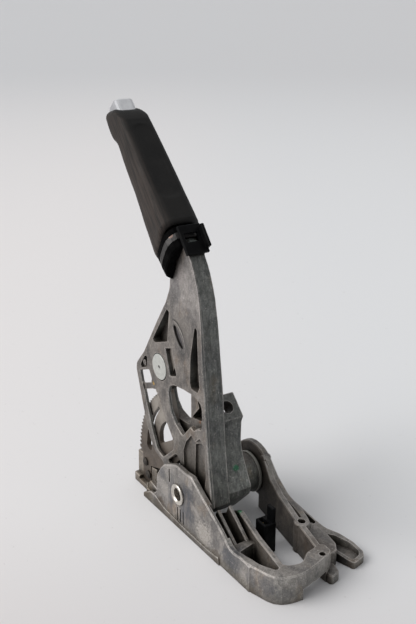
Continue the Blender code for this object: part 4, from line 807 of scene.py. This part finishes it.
def stitch_points(height):
    """A low arch across the seam, a little aslant."""
    share = height / GRIP_LENGTH
    front = min(x for x, _ in grip_outline(share, 0))
    points = []
    for k in range(STITCH_STEPS + 1):
        t = k / STITCH_STEPS
        x = front - STITCH_RISE * math.sin(math.pi * t) ** 0.5 + STITCH_SUNK
        y = STITCH_WIDTH * (t - 0.5)
        rise = height + STITCH_SLOPE * (t - 0.5)
        points.append(GRIP_PLACE @ Vector((x * MM, y * MM, (rise + grip_slant(share) * x) * MM)))
    return points


def grip_stitches():
    """The stitches along the seam on the grip's front."""
    shape = bmesh.new()
    height = STITCH_START
    while height < GRIP_LENGTH * LAST_STITCH_SHARE:
        thread(shape, stitch_points(height))
        height += STITCH_PITCH
    bmesh.ops.recalc_face_normals(shape, faces=shape.faces)
    new_object("grip_stitches", shape, "thread", "lever")


leather_cover()
grip_stitches()


# The stage: a pale sweep, a window-like light from the left, a plain sky and the camera


def floor_finish():
    """Pale board with painted light: a little brighter to the left of the camera, with painted shade near
    the camera and greyer far away.
    """
    look = Finish("pale_floor")
    azimuth = math.radians(CAMERA_AZIMUTH)
    rightward = look.vector("DOT_PRODUCT", look.place, (math.cos(azimuth), math.sin(azimuth), 0))
    towards = look.vector("DOT_PRODUCT", look.place, (math.sin(azimuth), -math.cos(azimuth), 0))
    away = look.vector("LENGTH", look.vector("MULTIPLY", look.place, (1, 1, 0)))
    # Painted light and shade: brighter to the left of the camera, darker near it and greyer far away.
    look.base(look.band(rightward, -320, 260), (0.82, 0.80, 0.80), (0.755, 0.765, 0.78))
    look.tint(look.band(towards, -60, 250), (0.86, 0.835, 0.83))
    look.coat(look.band(away, 300, 4200), (0.61, 0.615, 0.63))
    look.coat(look.band(look.noise(0.12, 5, 0.75), 0.64, 0.70, 0, 0.3), (0.45, 0.43, 0.42))
    return look.finished(0.65, specular=0.2)


def make_floor():
    shape = bmesh.new()
    bmesh.ops.create_circle(shape, cap_ends=True, radius=FLOOR_RADIUS_M, segments=96)
    mesh = bpy.data.meshes.new("floor")
    shape.to_mesh(mesh)
    shape.free()
    floor = bpy.data.objects.new("floor", mesh)
    floor.location = (0, 0, -FLOOR_GAP * MM)
    mesh.materials.append(floor_finish())
    bpy.context.scene.collection.objects.link(floor)


def make_sky():
    """A plain sky, brighter to the left of the camera. Seen or mirrored, it is an even pale grey."""
    world = bpy.data.worlds.new("studio")
    bpy.context.scene.world = world
    world.use_nodes = True
    sky = Nodes(world.node_tree)
    coords = sky.node("ShaderNodeTexCoord").outputs["Generated"]
    lean = sky.vector("DOT_PRODUCT", coords, Vector(SKY_TOWARDS).normalized())
    path = sky.node("ShaderNodeLightPath").outputs
    seen = path["Is Camera Ray"]
    for kind in ("Is Glossy Ray", "Is Transmission Ray"):
        seen = sky.math("MAXIMUM", seen, path[kind])
    lit = sky.band(lean, *SKY_SPREAD, *SKY_LEVELS)
    level = sky.node("ShaderNodeMix", {0: seen, 2: lit, 3: BACKGROUND_LEVEL}).outputs[0]
    background = sky.tree.nodes["Background"]
    sky.feed(background.inputs["Color"], SKY_COLOUR)
    sky.feed(background.inputs["Strength"], level)


def make_window():
    data = bpy.data.lights.new("window", "SUN")
    data.energy = WINDOW_STRENGTH
    data.angle = math.radians(WINDOW_ANGLE)
    data.color = WINDOW_COLOUR
    light = bpy.data.objects.new("window", data)
    light.rotation_euler = Vector(WINDOW_TOWARDS).to_track_quat("Z", "Y").to_euler()
    bpy.context.scene.collection.objects.link(light)


def make_camera():
    azimuth, pitch = math.radians(CAMERA_AZIMUTH), math.radians(CAMERA_PITCH)
    right = Vector((math.cos(azimuth), math.sin(azimuth), 0))
    level_back = Vector((math.sin(azimuth), -math.cos(azimuth), 0))
    back = level_back * math.cos(pitch) + Vector((0, 0, math.sin(pitch)))
    up = back.cross(right)
    data = bpy.data.cameras.new("camera")
    data.sensor_fit = "VERTICAL"
    data.sensor_height = SENSOR_HEIGHT
    data.lens = SENSOR_HEIGHT * FOCAL_PIXELS / PICTURE_HEIGHT
    data.clip_start, data.clip_end = 0.02, 200.0
    camera = bpy.data.objects.new("camera", data)
    place = (Vector(CAMERA_AIM) + back * CAMERA_DISTANCE) * MM
    turn = Matrix((right, up, back)).transposed().to_4x4()
    camera.matrix_world = Matrix.Translation(place) @ turn
    bpy.context.scene.collection.objects.link(camera)
    bpy.context.scene.camera = camera


make_floor()
make_sky()
make_window()
make_camera()
bpy.context.scene.view_settings.view_transform = "Standard"
